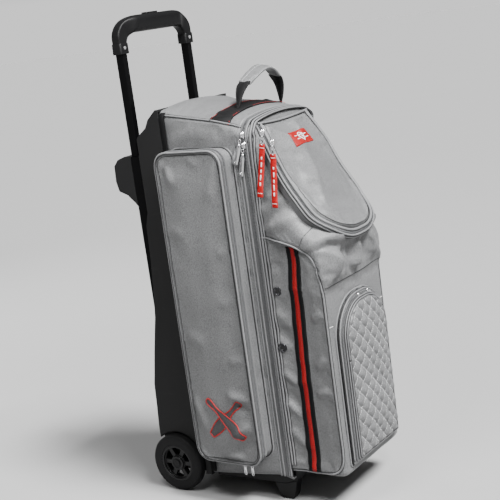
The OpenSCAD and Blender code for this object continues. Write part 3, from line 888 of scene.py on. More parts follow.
def pocket_wall():
    """The gusset between the bag and the zip, sunken and a little uneven."""
    middle = (POCKET_LOW[1] + POCKET_HIGH[1]) / 2
    rows = []
    for t in np.linspace(0, 1, 16):
        sag = math.sin(t * math.pi)
        inset = 2.4 * sag - 2.0 * ease((t - 0.86) / 0.14)
        row = gusset_ring(SPLIT_X + (HALF_W + 0.2 - SPLIT_X) * t, inset)
        dent = 1.4 * ripple(row[:, 1] + 30 * t, row[:, 2], 8, 60) * sag
        row[:, 1] += np.sign(row[:, 1] - middle) * dent
        rows.append(row)
    wall = Shape()
    wall.grid(rows, wrap_v=True)
    return wall


def pocket_edge():
    """The three strips of fabric round the face: its rim, the flange up to the zip, and the hinge."""
    rim, flange, hinge = Shape(), Shape(), Shape()
    ring = gusset_ring(FACE_X)
    rim.grid([ring + [reach, 0, 0] for reach in (3.6, 1.2, -5.0)], wrap_v=True)
    flange.grid([gusset_ring(x)[zip_points()] for x in np.linspace(FACE_X - 4.9, SPLIT_X, 5)])
    back = ring[ring[:, 1] > HINGE_Y]
    back = back[np.argsort(back[:, 2])]
    hinge.grid([back + [reach, 0, 0] for reach in (-5.2, SPLIT_X - FACE_X)], flip=True)
    return rim, flange, hinge


def pocket_parts():
    """Shapes of one side pocket, on the right side of the bag."""
    panel = pocket_face()
    face = panel.tree()
    rim, flange, hinge = pocket_edge()
    cord, dark, foot_cord, foot_dark, coil, tape = (Shape() for _ in range(6))
    edge = gusset_ring(FACE_X + 2.0, 0.4)
    piping(cord, dark, edge, flared(edge, 0.55), 2.3, True)
    # dark line inside the face's edge: a seam, partly painted shade in its groove
    on, _ = lay_on(face, gusset_ring(FACE_X + 3.2, 6.0), (-1, 0, 0), 0.1)
    dark.tube(on, 0.7, 5, True)
    foot = gusset_ring(HALF_W + 3.2, -1.6)
    piping(foot_cord, foot_dark, foot, flared(foot, 0.8), 1.7, True)
    line = gusset_ring(SPLIT_X - 0.4, -0.4)[zip_points()]
    out = flared(gusset_ring(SPLIT_X))[zip_points()]
    tape.strip(line + [-0.6, 0, 0], out, 13.0, 0.8)
    coil.teeth(line + out * 0.8, out, 2.8, (1.4, 4.6, 1.8))
    pins, filling = emblem(face)
    return {"panel": panel, "rim": rim, "flange": flange, "wall": pocket_wall(), "hinge": hinge,
            "cord": cord, "dark": dark, "foot_cord": foot_cord, "foot_dark": foot_dark,
            "coil": coil, "tape": tape, "emblem": pins, "emblem_filling": filling}


def outline_normals(ring):
    """Outward normals of a closed outline in the plane (y, z)."""
    t = tangents(ring, True)
    n = np.stack([t[:, 2], -t[:, 1]], 1)
    centre = ring[:, 1:].mean(0)
    inward = np.sum(n * (ring[:, 1:] - centre), axis=1) < 0
    n[inward] *= -1
    return unit(n)


PIN = [(-56, 5.6), (-50, 7.6), (-38, 10.4), (-24, 12.0), (-10, 11.2), (6, 8.4), (20, 5.4), (32, 4.6),
       (42, 6.2), (50, 6.6), (56, 4.2)]     # half width of a pin along its height


def emblem(face):
    """Plain embroidery of two crossed pins, low on the pocket: red outlines and their dark filling."""
    thread, filling = Shape(), Shape()
    centre = np.array([190.0, 12.0, 196.0])
    height, half = np.array(PIN).T
    outline = np.vstack([np.column_stack([half, height]), np.column_stack([-half, height])[::-1]])
    line = smooth_path(outline, 2.0, True)
    along = np.linspace(height[0], height[-1], 48)
    for lean, lift in ((46, 0.2), (-46, 1.0)):
        c, s = math.cos(math.radians(lean)), math.sin(math.radians(lean))
        axes = np.array([[0, c, s], [0, -s, c]])
        on, normals = lay_on(face, centre + line @ axes, (-1, 0, 0), lift + 0.5)
        thread.tube(on, 1.3, 6, True, normals=normals, flat=0.6)
        on, normals = lay_on(face, centre + np.outer(along, axes[1]), (-1, 0, 0), lift)
        filling.strip(on, normals, 2 * np.interp(along, height, half), 0.6)
    return thread, filling


def side_pockets():
    """Both side pockets: a face on its door, and a wall and a zip on the bag."""
    parts = pocket_parts()
    for side in ("right", "left"):
        p = {k: (s if side == "right" else s.mirrored()) for k, s in parts.items()}
        door = "side_door_" + side
        node = "pocket_door_" + side
        p["panel"].make("pocket_face_" + side, FABRIC, door, "grey_fabric", [node], 3.0)
        p["rim"].make("pocket_face_edge_" + side, FABRIC, door, "grey_fabric", (), 1.6)
        p["flange"].make("pocket_flange_" + side, FABRIC, door, "grey_fabric", (), 1.6)
        p["cord"].make("pocket_piping_" + side, FABRIC_PIPING, door, "grey_fabric")
        p["dark"].make("pocket_seam_" + side, SEAM_TAPE_AND_SHADE, door, "grey_fabric")
        p["emblem"].make("pocket_embroidery_" + side, RED_THREAD, door, "red_fabric")
        name = "pocket_embroidery_filling_" + side
        p["emblem_filling"].make(name, DARK_THREAD, door, "grey_fabric")
        node = "pocket_gusset_" + side
        p["wall"].make("pocket_wall_" + side, FABRIC, "bag", "grey_fabric", [node], 2.0)
        p["hinge"].make("pocket_hinge_" + side, FABRIC, "bag", "grey_fabric", (), 1.2)
        p["foot_cord"].make("pocket_foot_piping_" + side, FABRIC_PIPING, "bag", "grey_fabric")
        p["foot_dark"].make("pocket_foot_seam_" + side, SEAM_TAPE_AND_SHADE, "bag", "grey_fabric")
        p["coil"].make("pocket_zip_coil_" + side, ZIP_COIL, "bag", "zip_tape")
        p["tape"].make("pocket_zip_tape_" + side, ZIP_TAPE, "bag", "zip_tape")
        pocket_pulls(side)


def pocket_pulls(side):
    """Two slim zip pulls that hang from the sliders under the pocket."""
    node = "pocket_pull_" + side
    low, high = box_mm(node)
    x = (low[0] + high[0]) / 2
    down = ((0, 1, 0), (1, 0, 0), (0, 0, -1))
    shape = Shape()
    for y in (low[1] + 3, high[1] - 3):
        shape.block(np.array([x, y, high[2] - 2]), down, (5.0, 3.2, 6.0), 0.2)
        loop = [(x, y - 2, high[2] - 4), (x, y - 2.2, low[2] + 4), (x, y, low[2] + 0.8),
                (x, y + 2.2, low[2] + 4), (x, y + 2, high[2] - 4)]
        shape.tube(smooth_path(loop, 1.6), 0.8, 6)
        shape.block(np.array([x, y, low[2] + 13]), np.eye(3)[[1, 0, 2]], (3.4, 1.2, 15.0), 0.2)
    shape.make("pocket_pull_metal_" + side, ZINC, "pocket_pulls_" + side, "zinc", [node])


# ---- front section

def front_line(z):
    """Front of the section at each height: flat below, bulging under the lid, then up its slope."""
    slope_z = np.linspace(LID_HINGE[2] - 230, LID_HINGE[2] - 2, 24)
    drop = LID_HINGE[2] - slope_z
    stand = edge_lift(drop / math.sin(LID_SLOPE)) / math.sin(LID_SLOPE)
    slope_y = LID_HINGE[1] + 6 - drop / math.tan(LID_SLOPE) - stand
    low_z = [70, 452, 474, 500, 530, 546]
    low_y = [FRONT_Y - bulge for bulge in (0, 0, 7, 13, 12, 14)]
    zs = np.concatenate([low_z, slope_z, [LID_HINGE[2] + 2]])
    ys = np.concatenate([low_y, slope_y, [-103]])
    return np.interp(z, zs, ys)


def front_corner(z, depth):
    """Half axes of the section's round front corners at one height."""
    rx = np.interp(z, [74, 120, 455, 500, 540, 575, 620, 740, 786], [10, 8, 8, 26, 64, 60, 54, 48, 18])
    ry = np.interp(z, [74, 120, 455, 500, 540, 620], [10, 8, 8, 26, 70, 66])
    return rx, min(ry, 0.8 * depth)


def front_rows():
    """Level sections of the front section, from the bottom up."""
    foot = FRONT_LOW[2]
    turn = np.radians([8, 17, 26, 36, 45, 54, 64, 73, 82])
    rows = []
    for z in np.concatenate([np.linspace(foot, foot + 8, 5), np.linspace(foot + 13, 786, 150)]):
        tuck = 7 * (1 - ease((z - foot + 2) / 10))
        over = min(max(z - TOP_FRONT + SHOULDER, 0), SHOULDER)
        w = HALF_W - tuck - (SHOULDER - math.sqrt(SHOULDER**2 - over**2))
        rx, ry = front_corner(z, DOOR_Y - front_line(z))
        y1 = front_line(z) + tuck
        left = [(-w, y) for y in np.linspace(DOOR_Y, y1 + ry, 40)]
        arc = [(-w + rx - rx * math.cos(a), y1 + ry - ry * math.sin(a)) for a in turn]
        across = [(x, y1) for x in np.linspace(-w + rx, w - rx, 60)]
        right = [(-x, y) for x, y in reversed(left + arc)]
        back = [(x, DOOR_Y) for x in np.linspace(w, -w, 22)[1:-1]]
        rows.append([(x, y, z) for x, y in left + arc + across + right + back])
    return np.array(rows)


# edge of the arched side panels with the stripes, as (y, z)
ARC = [(DOOR_Y, 568), (-134, 566), (-167, 558), (-189, 549), (-205, 537), (-218, 519), (-224, 494),
       (-226, 465), (-226, 380), (-226, 280), (-226, 180), (-226, 120), (-222, 98), (-210, 84),
       (-185, 79), (-140, 77), (DOOR_Y, 76)]
SIDE_FOLDS = [
    (-218, 330, -186, 296, 9, 5.0), (-222, 300, -184, 272, 8, -4.6), (-220, 262, -178, 240, 8, 5.2),
    (-222, 240, -185, 214, 8, -4.0), (-104, 430, -146, 372, 11, 5.0), (-106, 392, -146, 340, 9, -4.2),
    (-104, 300, -146, 252, 9, 5.8), (-104, 262, -146, 205, 9, -5.0), (-104, 236, -144, 180, 8, 5.2),
    (-104, 180, -150, 116, 11, 6.0), (-108, 520, -142, 500, 11, -4.2), (-222, 420, -190, 396, 9, 4.0)]
POUCH_FOLDS = [
    (-120, 600, -200, 650, 9, -6.5), (-112, 580, -190, 614, 11, 6.5), (-118, 652, -170, 694, 10, -4.5),
    (-204, 572, -240, 490, 11, 10.0), (-186, 612, -232, 560, 10, -7.5), (-222, 540, -246, 476, 8, -7.5),
    (-196, 560, -226, 500, 8, 4.5), (-130, 730, -160, 672, 10, 3.0)]
BULGE_FOLDS = [
    (-70, 545, -86, 474, 10, 9.0), (-44, 552, -56, 476, 9, -6.5), (-20, 548, -30, 472, 11, -8.0),
    (8, 548, 0, 472, 10, 9.0), (34, 544, 44, 476, 11, -9.0), (60, 552, 76, 478, 10, 9.5),
    (84, 560, 102, 496, 9, -7.0), (-104, 545, -66, 496, 11, 7.0), (-50, 500, 20, 486, 9, 5.0)]
FOOT_SEAM_Z = 466      # seam across the front at the foot of the bulge


def inside_arc(y, z):
    """1 inside the arched side panel, 0 outside it."""
    line_y, line_z = smooth_path(ARC, 4).T
    upper = line_z > 300
    top = np.interp(-y, -line_y[upper], line_z[upper])
    return ease((top - z) / 12) * ease((y + 230) / 8)


def side_relief(y, z):
    """How far the sides stand out: the striped panel is puckered, the pouch above it full and folded."""
    panel = inside_arc(y, z)
    hollow = -2.0 * np.exp(-((y + 128) / 16) ** 2) + 3.2 * np.exp(-((y + 200) / 17) ** 2)
    puckers = ridges(y, z, SIDE_FOLDS) + hollow + ripple(y, z, 21, 60)
    fullness = 12.0 * np.exp(-((z - 558) / 88) ** 2) * ease((DOOR_Y - 6 - y) / 38)
    pouch = fullness + ridges(y, z, POUCH_FOLDS) + 1.4 * ripple(y, z, 23, 75)
    return panel * ease((DOOR_Y - y) / 24) * puckers + (1 - panel) * ease((z - 450) / 40) * pouch


def front_relief(x, z):
    """How far the front stands out: a soft folded bulge above the seam at its foot, plain below."""
    bulge = 4.5 + ridges(x, z, BULGE_FOLDS) + 1.2 * ripple(x, z, 25, 50)
    below = 1.6 * ripple(x, z, 27, 80) + 1.5
    return ease((z - 462) / 26) * ease((590 - z) / 40) * bulge + ease((462 - z) / 20) * below


def sewn_points(rows, points, side):
    """Which points of the front section are held by a seam."""
    x, y, z = rows.reshape(-1, 3).T
    line = smooth_path(ARC, 3)
    reach = np.min(np.linalg.norm(np.stack([y, z], 1)[:, None] - line[None], axis=2), axis=1)
    s, across = lid_place(points)
    held = (reach < 4.5) & (side.reshape(-1) > 0.4)
    held |= (y > DOOR_Y - 7) | (z < FRONT_LOW[2] + 8) | (z > 775) | (np.abs(z - FOOT_SEAM_Z) < 4)
    held |= (lid_gap(across, s) > -16) & (z > 500)
    return held | (np.abs(x) < QUILT_HIGH[0] + 4) & (z < QUILT_HIGH[2] + 3) & (y < -200)


def front_fabric():
    """The whole cover of the front section, closed below and above."""
    rows = front_rows()
    x, y, z = np.moveaxis(rows, -1, 0)
    back = (y > DOOR_Y - 0.5) & (np.abs(x) < HALF_W - 8)
    side = ease((np.abs(x) - HALF_W + 30) / 28) * ~back
    front = (1 - ease((np.abs(x) - HALF_W + 26) / 24)) * ~back
    out = side * side_relief(y, z) + front * front_relief(x, z)
    moved = rows + grid_normals(rows) * out[..., None]
    moved[..., 2] += CROWN * ease((z - 768) / 18) * np.clip(1 - (x / HALF_W) ** 2, 0, 1)
    shape = Shape()
    shape.skin(moved)
    settle(shape, sewn_points(rows, shape.v, side), 3.2, 0.016, 7.0)
    return shape


def grid_normals(rows):
    """Outward normals of closed level sections."""
    du = np.gradient(rows, axis=0)
    dv = np.roll(rows, -1, 1) - np.roll(rows, 1, 1)
    n = unit(np.cross(dv, du))
    middle = np.array([0.0, -150.0, 0.0])
    wrong = np.sum(n[..., :2] * (rows - middle)[..., :2], -1) < 0
    n[wrong] *= -1
    n[:3, :, 2] = 0
    return unit(n)


def lid_place(points):
    """Distance down the lid's slope and distance to the right, for points near the slope."""
    rel = np.asarray(points) - LID_HINGE
    return rel @ LID_DOWN, rel[..., 0]


def lid_half(s):
    """Half of the lid's width above its round end; it narrows a little to the hinge."""
    return LID_FLAT + LID_TIP - np.interp(s, [4, 80], [14, 0])


def edge_lift(s):
    """How far the lid's edge stands off the straight slope: it sags halfway and kicks out at the tip."""
    return -5.0 * np.exp(-((s - 130) / 55) ** 2) + 14.0 * ease((s - 205) / 62)


def lid_outline(grow, step, count=0):
    """Tongue outline of the lid as (x, s): s runs down the slope from the hinge."""
    tip = LID_TIP + grow
    end = LID_LEN - LID_TIP
    turn = np.radians(np.linspace(0, 90, 12))
    points = [(-lid_half(s) - grow, s) for s in np.linspace(2, end, 16, endpoint=False)]
    points += [(-LID_FLAT - tip * math.cos(a), end + tip * math.sin(a)) for a in turn]
    points += [(-x, s) for x, s in reversed(points)]
    return even(points, step, False, count)


def lid_gap(x, s):
    """Distance of slope points from the lid's outline, negative outside it."""
    end = LID_LEN - LID_TIP
    round_part = np.hypot(np.maximum(np.abs(x) - LID_FLAT, 0), np.maximum(s - end, 0))
    return np.where(s > end, LID_TIP - round_part, lid_half(s) - np.abs(x))


def soften(field, times):
    """Field on a grid, averaged with its neighbours several times."""
    for _ in range(times):
        wide = np.pad(field, 1, mode="edge")
        field = (4 * field + wide[2:, 1:-1] + wide[:-2, 1:-1] + wide[1:-1, 2:] + wide[1:-1, :-2]) / 8
    return field


def front_section():
    """Front section with its mouth cut out under the lid, and everything sewn to it."""
    shape = front_fabric()
    tree = shape.tree()
    mouth = Shape()
    s, across = lid_place(shape.v)
    depth = (shape.v - LID_HINGE) @ LID_OUT
    inside = (lid_gap(across, s) > 9) & (s > 10) & (np.abs(depth) < 30) & (shape.v[:, 1] < DOOR_Y - 8)
    mouth.v = shape.v
    mouth.f = [f for f in shape.f if not all(inside[i] for i in f)]
    mouth.make("front_section_fabric", FABRIC, "door", "grey_fabric", ["front_case"], 2.6)
    front_seams(tree)
    stripes(tree)
    eyelets(tree)
    lid_zip()


def front_seams(tree):
    """Piping and seams of the front section."""
    cord, dark, thread = Shape(), Shape(), Shape()
    line_y, line_z = smooth_path(ARC, 4).T
    # short seam from the lid down to the arch
    seam_y, seam_z = smooth_path([(-224, 601), (-208, 577), (-193, 552)], 3).T
    for side in (-1, 1):
        on, n = on_side(tree, side, line_y, line_z, 0.2)
        piping(cord, dark, on, n, 2.1)
        # dark cord along the short seam: partly the seam, partly painted shade in its groove
        on, n = on_side(tree, side, seam_y, seam_z, 0.1)
        dark.tube(on, 0.7, 5, normals=n, flat=0.5)
        # seam beside the quilted pocket
        x = np.linspace(side * (QUILT_HIGH[0] + 2), side * (HALF_W - 3), 8)
        on, n = on_front(tree, x, 386, 0.2)
        stitches(thread, on, n, 3.0, 1.4, 0.7)
    # dark cord along the seam at the foot of the bulge: partly the seam, partly painted shade in its groove
    x = np.linspace(3 - HALF_W, HALF_W - 3, 70)
    on, n = on_front(tree, x, FOOT_SEAM_Z + 5 * ease((x - 20) / 90), 0.1)
    dark.tube(on, 1.1, 6, normals=n, flat=0.6)
    edge_piping(tree, cord, dark)
    cord.make("front_piping", FABRIC_PIPING, "door", "grey_fabric")
    dark.make("front_seams", SEAM_TAPE_AND_SHADE, "door", "grey_fabric")
    thread.make("front_stitches", WHITE_THREAD, "door", "grey_fabric")


def edge_piping(tree, cord, dark):
    """Double piping along the edge next to the main zip, up the sides and over the top."""
    for back, down, r in ((3.6, 0.0, 2.1), (9.6, 1.6, 1.8)):
        path, out = over_the_top(DOOR_Y - back, FRONT_LOW[2] + 10)
        path[:, 1] -= 3.0 * ease((path[:, 2] - 620) / 150) * (path[:, 2] < 790)
        path[:, 2] -= down * ease((path[:, 2] - 775) / 10)
        beside = path[:, 2] < 768
        for side in (-1, 1):
            here = beside & (path[:, 0] * side > 0)
            path[here], out[here] = lay_on(tree, path[here], (-side, 0, 0), 0.2)
        for _ in range(3):
            path[1:-1] = (path[:-2] + path[1:-1] + path[2:]) / 3
        piping(cord, dark, path, relaxed(out), r)


def stripes(tree):
    """Black, red and black webbing down the arched side panels."""
    black, red, thread = Shape(), Shape(), Shape()
    z = np.linspace(80, 550, 120)
    middle = smooth_path([(70, -156), (180, -155.5), (300, -157), (400, -161), (470, -165.5), (551, -171)], 4)
    centre = np.interp(z, *middle.T)
    width, thick = 9.9, 1.2
    for side in (-1, 1):
        for shift in (width, -width):
            below = z < 552.5 + 0.35 * shift
            y = (centre + shift)[below]
            on, n = on_side(tree, side, y, z[below])
            black.strip(on, n, width, thick, lift=0.3)
            for edge in (-3.9, 3.9):
                on, n = on_side(tree, side, y + edge, z[below], 0.3 + thick)
                stitches(thread, on, n, 3.0, 1.8, 0.35)
        on, n = on_side(tree, side, centre, z)
        red.strip(on, n, width - 0.1, thick, lift=0.6)
    black.make("stripe_webbing_black", BLACK_WEB, "door", "black_webbing", ["stripes"])
    red.make("stripe_webbing_red", RED_WEB, "door", "red_fabric")
    thread.make("stripe_stitches", LINING, "door", "black_webbing")


def eyelets(tree):
    """Round vents with a dark rim and a mesh inside."""
    rim, mesh = Shape(), Shape()
    for y, z in ((-122, 458), (-117, 341)):
        for side in (-1, 1):
            (centre,), (normal,) = lay_on(tree, [(side * HALF_W, y, z)], (-side, 0, 0))
            vent(rim, mesh, centre, normal)
    rim.make("vent_rims", DARK_METAL, "door", "steel", ["vent_eyelets"])
    mesh.make("vent_mesh", LINING, "door", "steel")


def vent(rim, mesh, centre, normal):
    """One vent at centre: its rolled rim, the funnel inside it and the wires of its mesh."""
    u = unit(np.cross(normal, [0, 0, 1.0]))
    w = np.cross(normal, u)

    def ring(radius, height):
        return circle(centre + normal * height, u * radius, w * radius, 36)

    rim.tube(ring(8.0, 0.9), 1.7, 8, True)
    rim.tube(ring(5.6, 0.9), 0.9, 8, True)
    rim.grid([ring(9.4, 0.1), ring(8.4, 1.6), ring(6.6, 1.9), ring(5.4, 0.7)], wrap_v=True)
    mesh.grid([ring(6.65 - 6.6 * t, 1.6 - 1.4 * t) for t in np.linspace(0, 1, 5)], wrap_v=True)
    for k in np.linspace(-4, 4, 5):
        reach = math.sqrt(25 - k * k)
        for a, b in ((u, w), (w, u)):
            middle = centre + normal + a * k
            mesh.tube([middle - b * reach, middle + b * reach], 0.35, 5)


def slope_point(x, s, out):
    """Point on the lid's slope: x across, s down from the hinge, out above the curved slope."""
    x, s, out = np.broadcast_arrays(np.asarray(x, float), s, out)
    out = out + edge_lift(s)
    across = np.array([1.0, 0, 0])
    return LID_HINGE + x[..., None] * across + s[..., None] * LID_DOWN + out[..., None] * LID_OUT


def hinge_rise(x, s):
    """The hinge edge dips between its corners; the dip fades down the slope."""
    return -5.0 * np.clip(1 - (x / 100) ** 2, 0, 1) * (1 - ease(s / 45))


LID_FOLDS = [(-84, 66, -34, 100, 11, -3.5), (-76, 130, -24, 152, 12, 4.0), (20, 20, 84, 40, 16, -2.6),
             (-60, 208, 30, 230, 12, 3.4), (-30, 162, 46, 186, 14, 2.4), (48, 90, 66, 190, 18, 2.8),
             (-88, 170, -50, 190, 9, -3.0)]


def lid_point(x, s, out):
    """Point over the lid: on its slope, and lower where the hinge edge dips."""
    place = slope_point(x, s, out)
    place[..., 2] += hinge_rise(x, s)
    return place


def lid_facets(x, s):
    """Height of the lid's one broad fold: it falls to the left edge and to the right edge."""
    crest = np.interp(s, [0, 12, 40, 76, 128, 180, 225, LID_LEN], [-84, -80, -48, -20, -24, -52, -66, -20])
    low_x = np.minimum(x.min(1, keepdims=True), -5)
    high_x = np.maximum(x.max(1, keepdims=True), 5)
    left = np.clip((x - low_x) / (crest - low_x + 1e-6), 0, 1)
    right = np.clip((high_x - x) / (high_x - crest + 1e-6), 0, 1) ** 0.85
    high = np.interp(s, [0, 75, 150, 215, LID_LEN], [0, 21, 22, 15, 4])
    return soften(high * np.where(x < crest, left, right), 6)


def lid():
    """Tongue-shaped lid: a crowned padded panel with piping round it."""
    grid, gap = flat_panel(lid_outline(-1.5, 3.0), 54, 84)
    x, s = grid[..., 0], grid[..., 1]
    top = ease((s - 2) / 12)
    crown = 2.0 * ease(gap / 50) * top + 3.2 * ease(gap / 9)
    uneven = (ridges(x, s, LID_FOLDS) + 1.3 * ripple(x, s, 31, 90)) * ease(gap / 20) * top
    panel = Shape()
    panel.grid(lid_point(x, s, crown + lid_facets(x, s) * ease(gap / 6) + uneven - 1.0), flip=True)
    settle(panel, gap.reshape(-1) < 3.5, 3.0, 0.015, 6.0)
    tree = panel.tree()
    cover = panel.make("lid_fabric", FABRIC, "lid", "grey_fabric", ["lid_panel"], 4.0)
    lid_edges(tree)
    lid_patch(tree)


def lid_edges(tree):
    """Piping round the lid and along its hinge, and the dark seam inside it."""
    cord, dark = Shape(), Shape()
    line = lid_point(*lid_outline(0.5, 3.5).T, 0.4)
    piping(cord, dark, line, np.tile(LID_OUT, (len(line), 1)), 2.7)
    # dark line inside the lid's edge: a seam, partly painted shade in its groove
    on, n = lay_on(tree, slope_point(*lid_outline(-7.5, 3.5).T, 20.0), -LID_OUT, 0.1)
    dark.tube(on, 0.75, 5, normals=n, flat=0.5)
    x = np.linspace(-92, 92, 60)
    line = slope_point(x, 1.0, 0.2)
    line[:, 2] += hinge_rise(x, 0.0)
    piping(cord, dark, line, np.tile([0, -0.5, 0.87], (len(x), 1)), 2.2)
    cord.make("lid_piping", FABRIC_PIPING, "lid", "grey_fabric")
    dark.make("lid_seams", SEAM_TAPE_AND_SHADE, "lid", "grey_fabric")


PATCH_S = 57           # how far the middle of the patch is from the hinge


def sewn(x, s):
    """Points above the lid, turned a little about the patch's middle."""
    x, s = np.broadcast_arrays(np.asarray(x, float) + 2, np.asarray(s, float) - PATCH_S)
    return slope_point(-2 + x + 0.05 * s, PATCH_S - 0.05 * x + s, 60.0)


def lid_patch(tree):
    """Woven red patch with a plain ball on it, stitched near the lid's top."""
    patch, mark, thread = Shape(), Shape(), Shape()
    x, s = np.meshgrid(np.linspace(-40, 36, 24), np.linspace(41.5, 73.5, 14), indexing="ij")
    on, _ = lay_on(tree, sewn(x.ravel(), s.ravel()), -LID_OUT, 0.9)
    patch.grid(on.reshape(24, 14, 3))
    # the ball and its three holes
    angle = np.linspace(0, 2 * math.pi, 30, endpoint=False)
    rings = [(-2, 57, 9.5, 1.0), (-5.4, 53.5, 1.3, 0.8), (0.6, 53.2, 1.3, 0.8), (-1.8, 58, 1.3, 0.8)]
    for x, s, r, thick in rings:
        on, _ = lay_on(tree, sewn(x + r * np.cos(angle), s + r * np.sin(angle)), -LID_OUT, 1.2)
        mark.tube(on, thick, 6, True)
    # two short bars on each side of it
    for x0, x1 in ((-28, -16), (12, 24)):
        for s in (53, 61):
            on, _ = lay_on(tree, sewn(np.linspace(x0, x1, 8), s), -LID_OUT, 1.2)
            mark.tube(on, 0.9, 6)
    border = even([(-38.4, 43.1), (34.4, 43.1), (34.4, 71.9), (-38.4, 71.9), (-38.4, 43.1)], 1.5)
    on, n = lay_on(tree, sewn(*border.T), -LID_OUT, 1.1)
    stitches(thread, on, n, 2.6, 1.2, 0.4)
    patch.make("lid_patch_fabric", RED_PATCH, "lid", "red_fabric", ["lid_patch"], 0.9)
    mark.make("lid_patch_ball_mark", WHITE_THREAD, "lid", "red_fabric")
    thread.make("lid_patch_stitches", RED_THREAD, "lid", "red_fabric")


def lid_zip():
    """Zip round the lid on the front section: a low wall with teeth between two cords."""
    wall, cord, dark, coil, binding = (Shape() for _ in range(5))
    steps = ((2.6, -1.6), (6.2, -2.4), (10.0, -4.0), (12.6, -8.5), (13.4, -20.0))
    rows = np.array([lid_point(*lid_outline(grow, 3.5, 210).T, out) for grow, out in steps])
    wall.grid(rows)
    across = unit(rows[2] - rows[0])
    up = unit(np.cross(across, tangents(rows[1], False)))
    up[np.sum(up * LID_OUT, axis=1) < 0] *= -1
    coil.teeth(rows[1] - across * 0.6 + up * 0.4, up, 2.9, (1.5, 5.4, 1.9))
    piping(cord, dark, rows[2] + up * 0.6, up, 2.1)
    piping(cord, dark, rows[3] + up * 0.4, unit(up + 0.8 * across), 1.6)
    wall.make("lid_zip_tape", ZIP_TAPE, "door", "zip_tape", (), 1.2)
    edge = slope_point(*lid_outline(-9.0, 4.0).T, -4.5)
    binding.strip(edge, np.tile(LID_OUT, (len(edge), 1)), 13.0, 3.6, lift=-2.4)
    binding.make("mouth_binding", SEAM_TAPE_AND_SHADE, "door", "grey_fabric")
    coil.make("lid_zip_coil", ZIP_COIL, "door", "zip_tape")
    cord.make("lid_zip_piping", FABRIC_PIPING, "door", "grey_fabric")
    dark.make("lid_zip_seams", SEAM_TAPE_AND_SHADE, "door", "grey_fabric")


# ---- quilted pocket

QUILT_ARCH = 84.0      # radius of its top corners
BORDER = 15.0          # plain zip border round the quilting
ZIP_INSET = 6.4        # distance of the zip from the pocket's edge
SIDE_INSET = 4         # how much narrower the cover is than its CAD panel, on each side
DIAMOND = (31.0, 34.0)  # width and height of one diamond
AHEAD_Y = -260.0       # the seams are drawn on this plane and laid on the cover


def quilt_outline(inset, step, count=0):
    """Closed outline of the pocket as (x, z), with an arched top."""
    low = QUILT_LOW[[0, 2]] + [inset + SIDE_INSET, inset]
    high = QUILT_HIGH[[0, 2]] - [inset + SIDE_INSET, inset]
    r = QUILT_ARCH - inset
    centre_z = high[1] - r
    turn = np.radians(np.linspace(0, 90, 14))
    points = [(high[0], low[1] + 3), (high[0], centre_z)]
    points += [(high[0] - r + r * math.cos(a), centre_z + r * math.sin(a)) for a in turn]
    points += [(low[0] + r - r * math.cos(a), centre_z + r * math.sin(a)) for a in turn[::-1]]
    points += [(low[0], low[1] + 3), (low[0] + 3, low[1]), (high[0] - 3, low[1])]
    return even(points, step, True, count)


def quilt_height(x, z, gap):
    """How far the cover stands out: its rounded edge, its fullness and the quilted pillows."""
    a = x / DIAMOND[0] + z / DIAMOND[1]
    b = x / DIAMOND[0] - z / DIAMOND[1]
    pillow = np.sqrt(np.clip(np.abs(np.sin(math.pi * a) * np.sin(math.pi * b)), 0, 1))
    inner = ease((gap - BORDER + 2) / 6)
    return 13.0 * ease((gap + 1) / 19) + 5.5 * ease((gap - 12) / 62) + inner * 6.4 * pillow - 2.0 * inner


def quilt():
    """Quilted pocket on the front: a padded cover on its zip, and its wall on the front section."""
    grid, gap = flat_panel(quilt_outline(0.5, 3.0), 92, 158)
    x, z = grid[..., 0], grid[..., 1]
    face = Shape()
    face.grid(at(x, QUILT_LOW[1] + 9.0 - quilt_height(x, z, gap), z))
    tree = face.tree()
    cover = face.make("quilt_fabric", FABRIC, "quilt_door", "grey_fabric", ["quilt_panel"], 4.0)
    quilt_stitches(tree)
    quilt_edges(tree)
    quilt_wall()
    quilt_pulls()


def quilt_stitches(tree):
    """Crossing lines of thread between the pillows."""
    thread = Shape()
    ring = quilt_outline(BORDER + 2.5, 2.0)
    side_gap = QUILT_HIGH[0] - BORDER - 2
    z = np.linspace(QUILT_LOW[2] + 10, QUILT_HIGH[2] - 10, 150)
    for lean in (-1, 1):
        for k in range(-20, 32):
            x = DIAMOND[0] * (k - lean * z / DIAMOND[1])
            inside = (np.abs(x) < side_gap) & inside_outline(ring, x, z)
            if inside.sum() >= 6:
                on, n = on_front(tree, x[inside], z[inside], 0.15, AHEAD_Y)
                stitches(thread, on, n, 3.0, 1.5, 0.65)
    thread.make("quilt_stitches", GREY_THREAD, "quilt_door", "grey_fabric")


def quilt_arch(tree, inset, lift):
    """Line up one side of the cover, over its arch and down the other side."""
    line = quilt_outline(inset, 3.0)
    part = line[line[:, 1] > QUILT_LOW[2] + 8]
    start = np.argmax(np.linalg.norm(part - np.roll(part, 1, 0), axis=1))
    return on_front(tree, *np.roll(part, -start, 0).T, lift, AHEAD_Y)


def quilt_edges(tree):
    """Piping and zip round the cover."""
    cord, dark, coil, tape = Shape(), Shape(), Shape(), Shape()
    for inset, r in ((10.6, 1.3), (14.0, 1.3), (1.8, 1.7)):
        piping(cord, dark, *quilt_arch(tree, inset, 0.2), r)
    on, n = quilt_arch(tree, ZIP_INSET, 0.1)
    tape.strip(on, n, 6.4, 0.5)
    coil.teeth(on + n * 0.5, n, 2.8, (1.4, 3.4, 1.5))
    cord.make("quilt_piping", FABRIC_PIPING, "quilt_door", "grey_fabric")
    dark.make("quilt_seams", SEAM_TAPE_AND_SHADE, "quilt_door", "grey_fabric")
    coil.make("quilt_zip_coil", ZIP_COIL, "quilt_door", "zip_tape")
    tape.make("quilt_zip_tape", ZIP_TAPE, "quilt_door", "zip_tape")


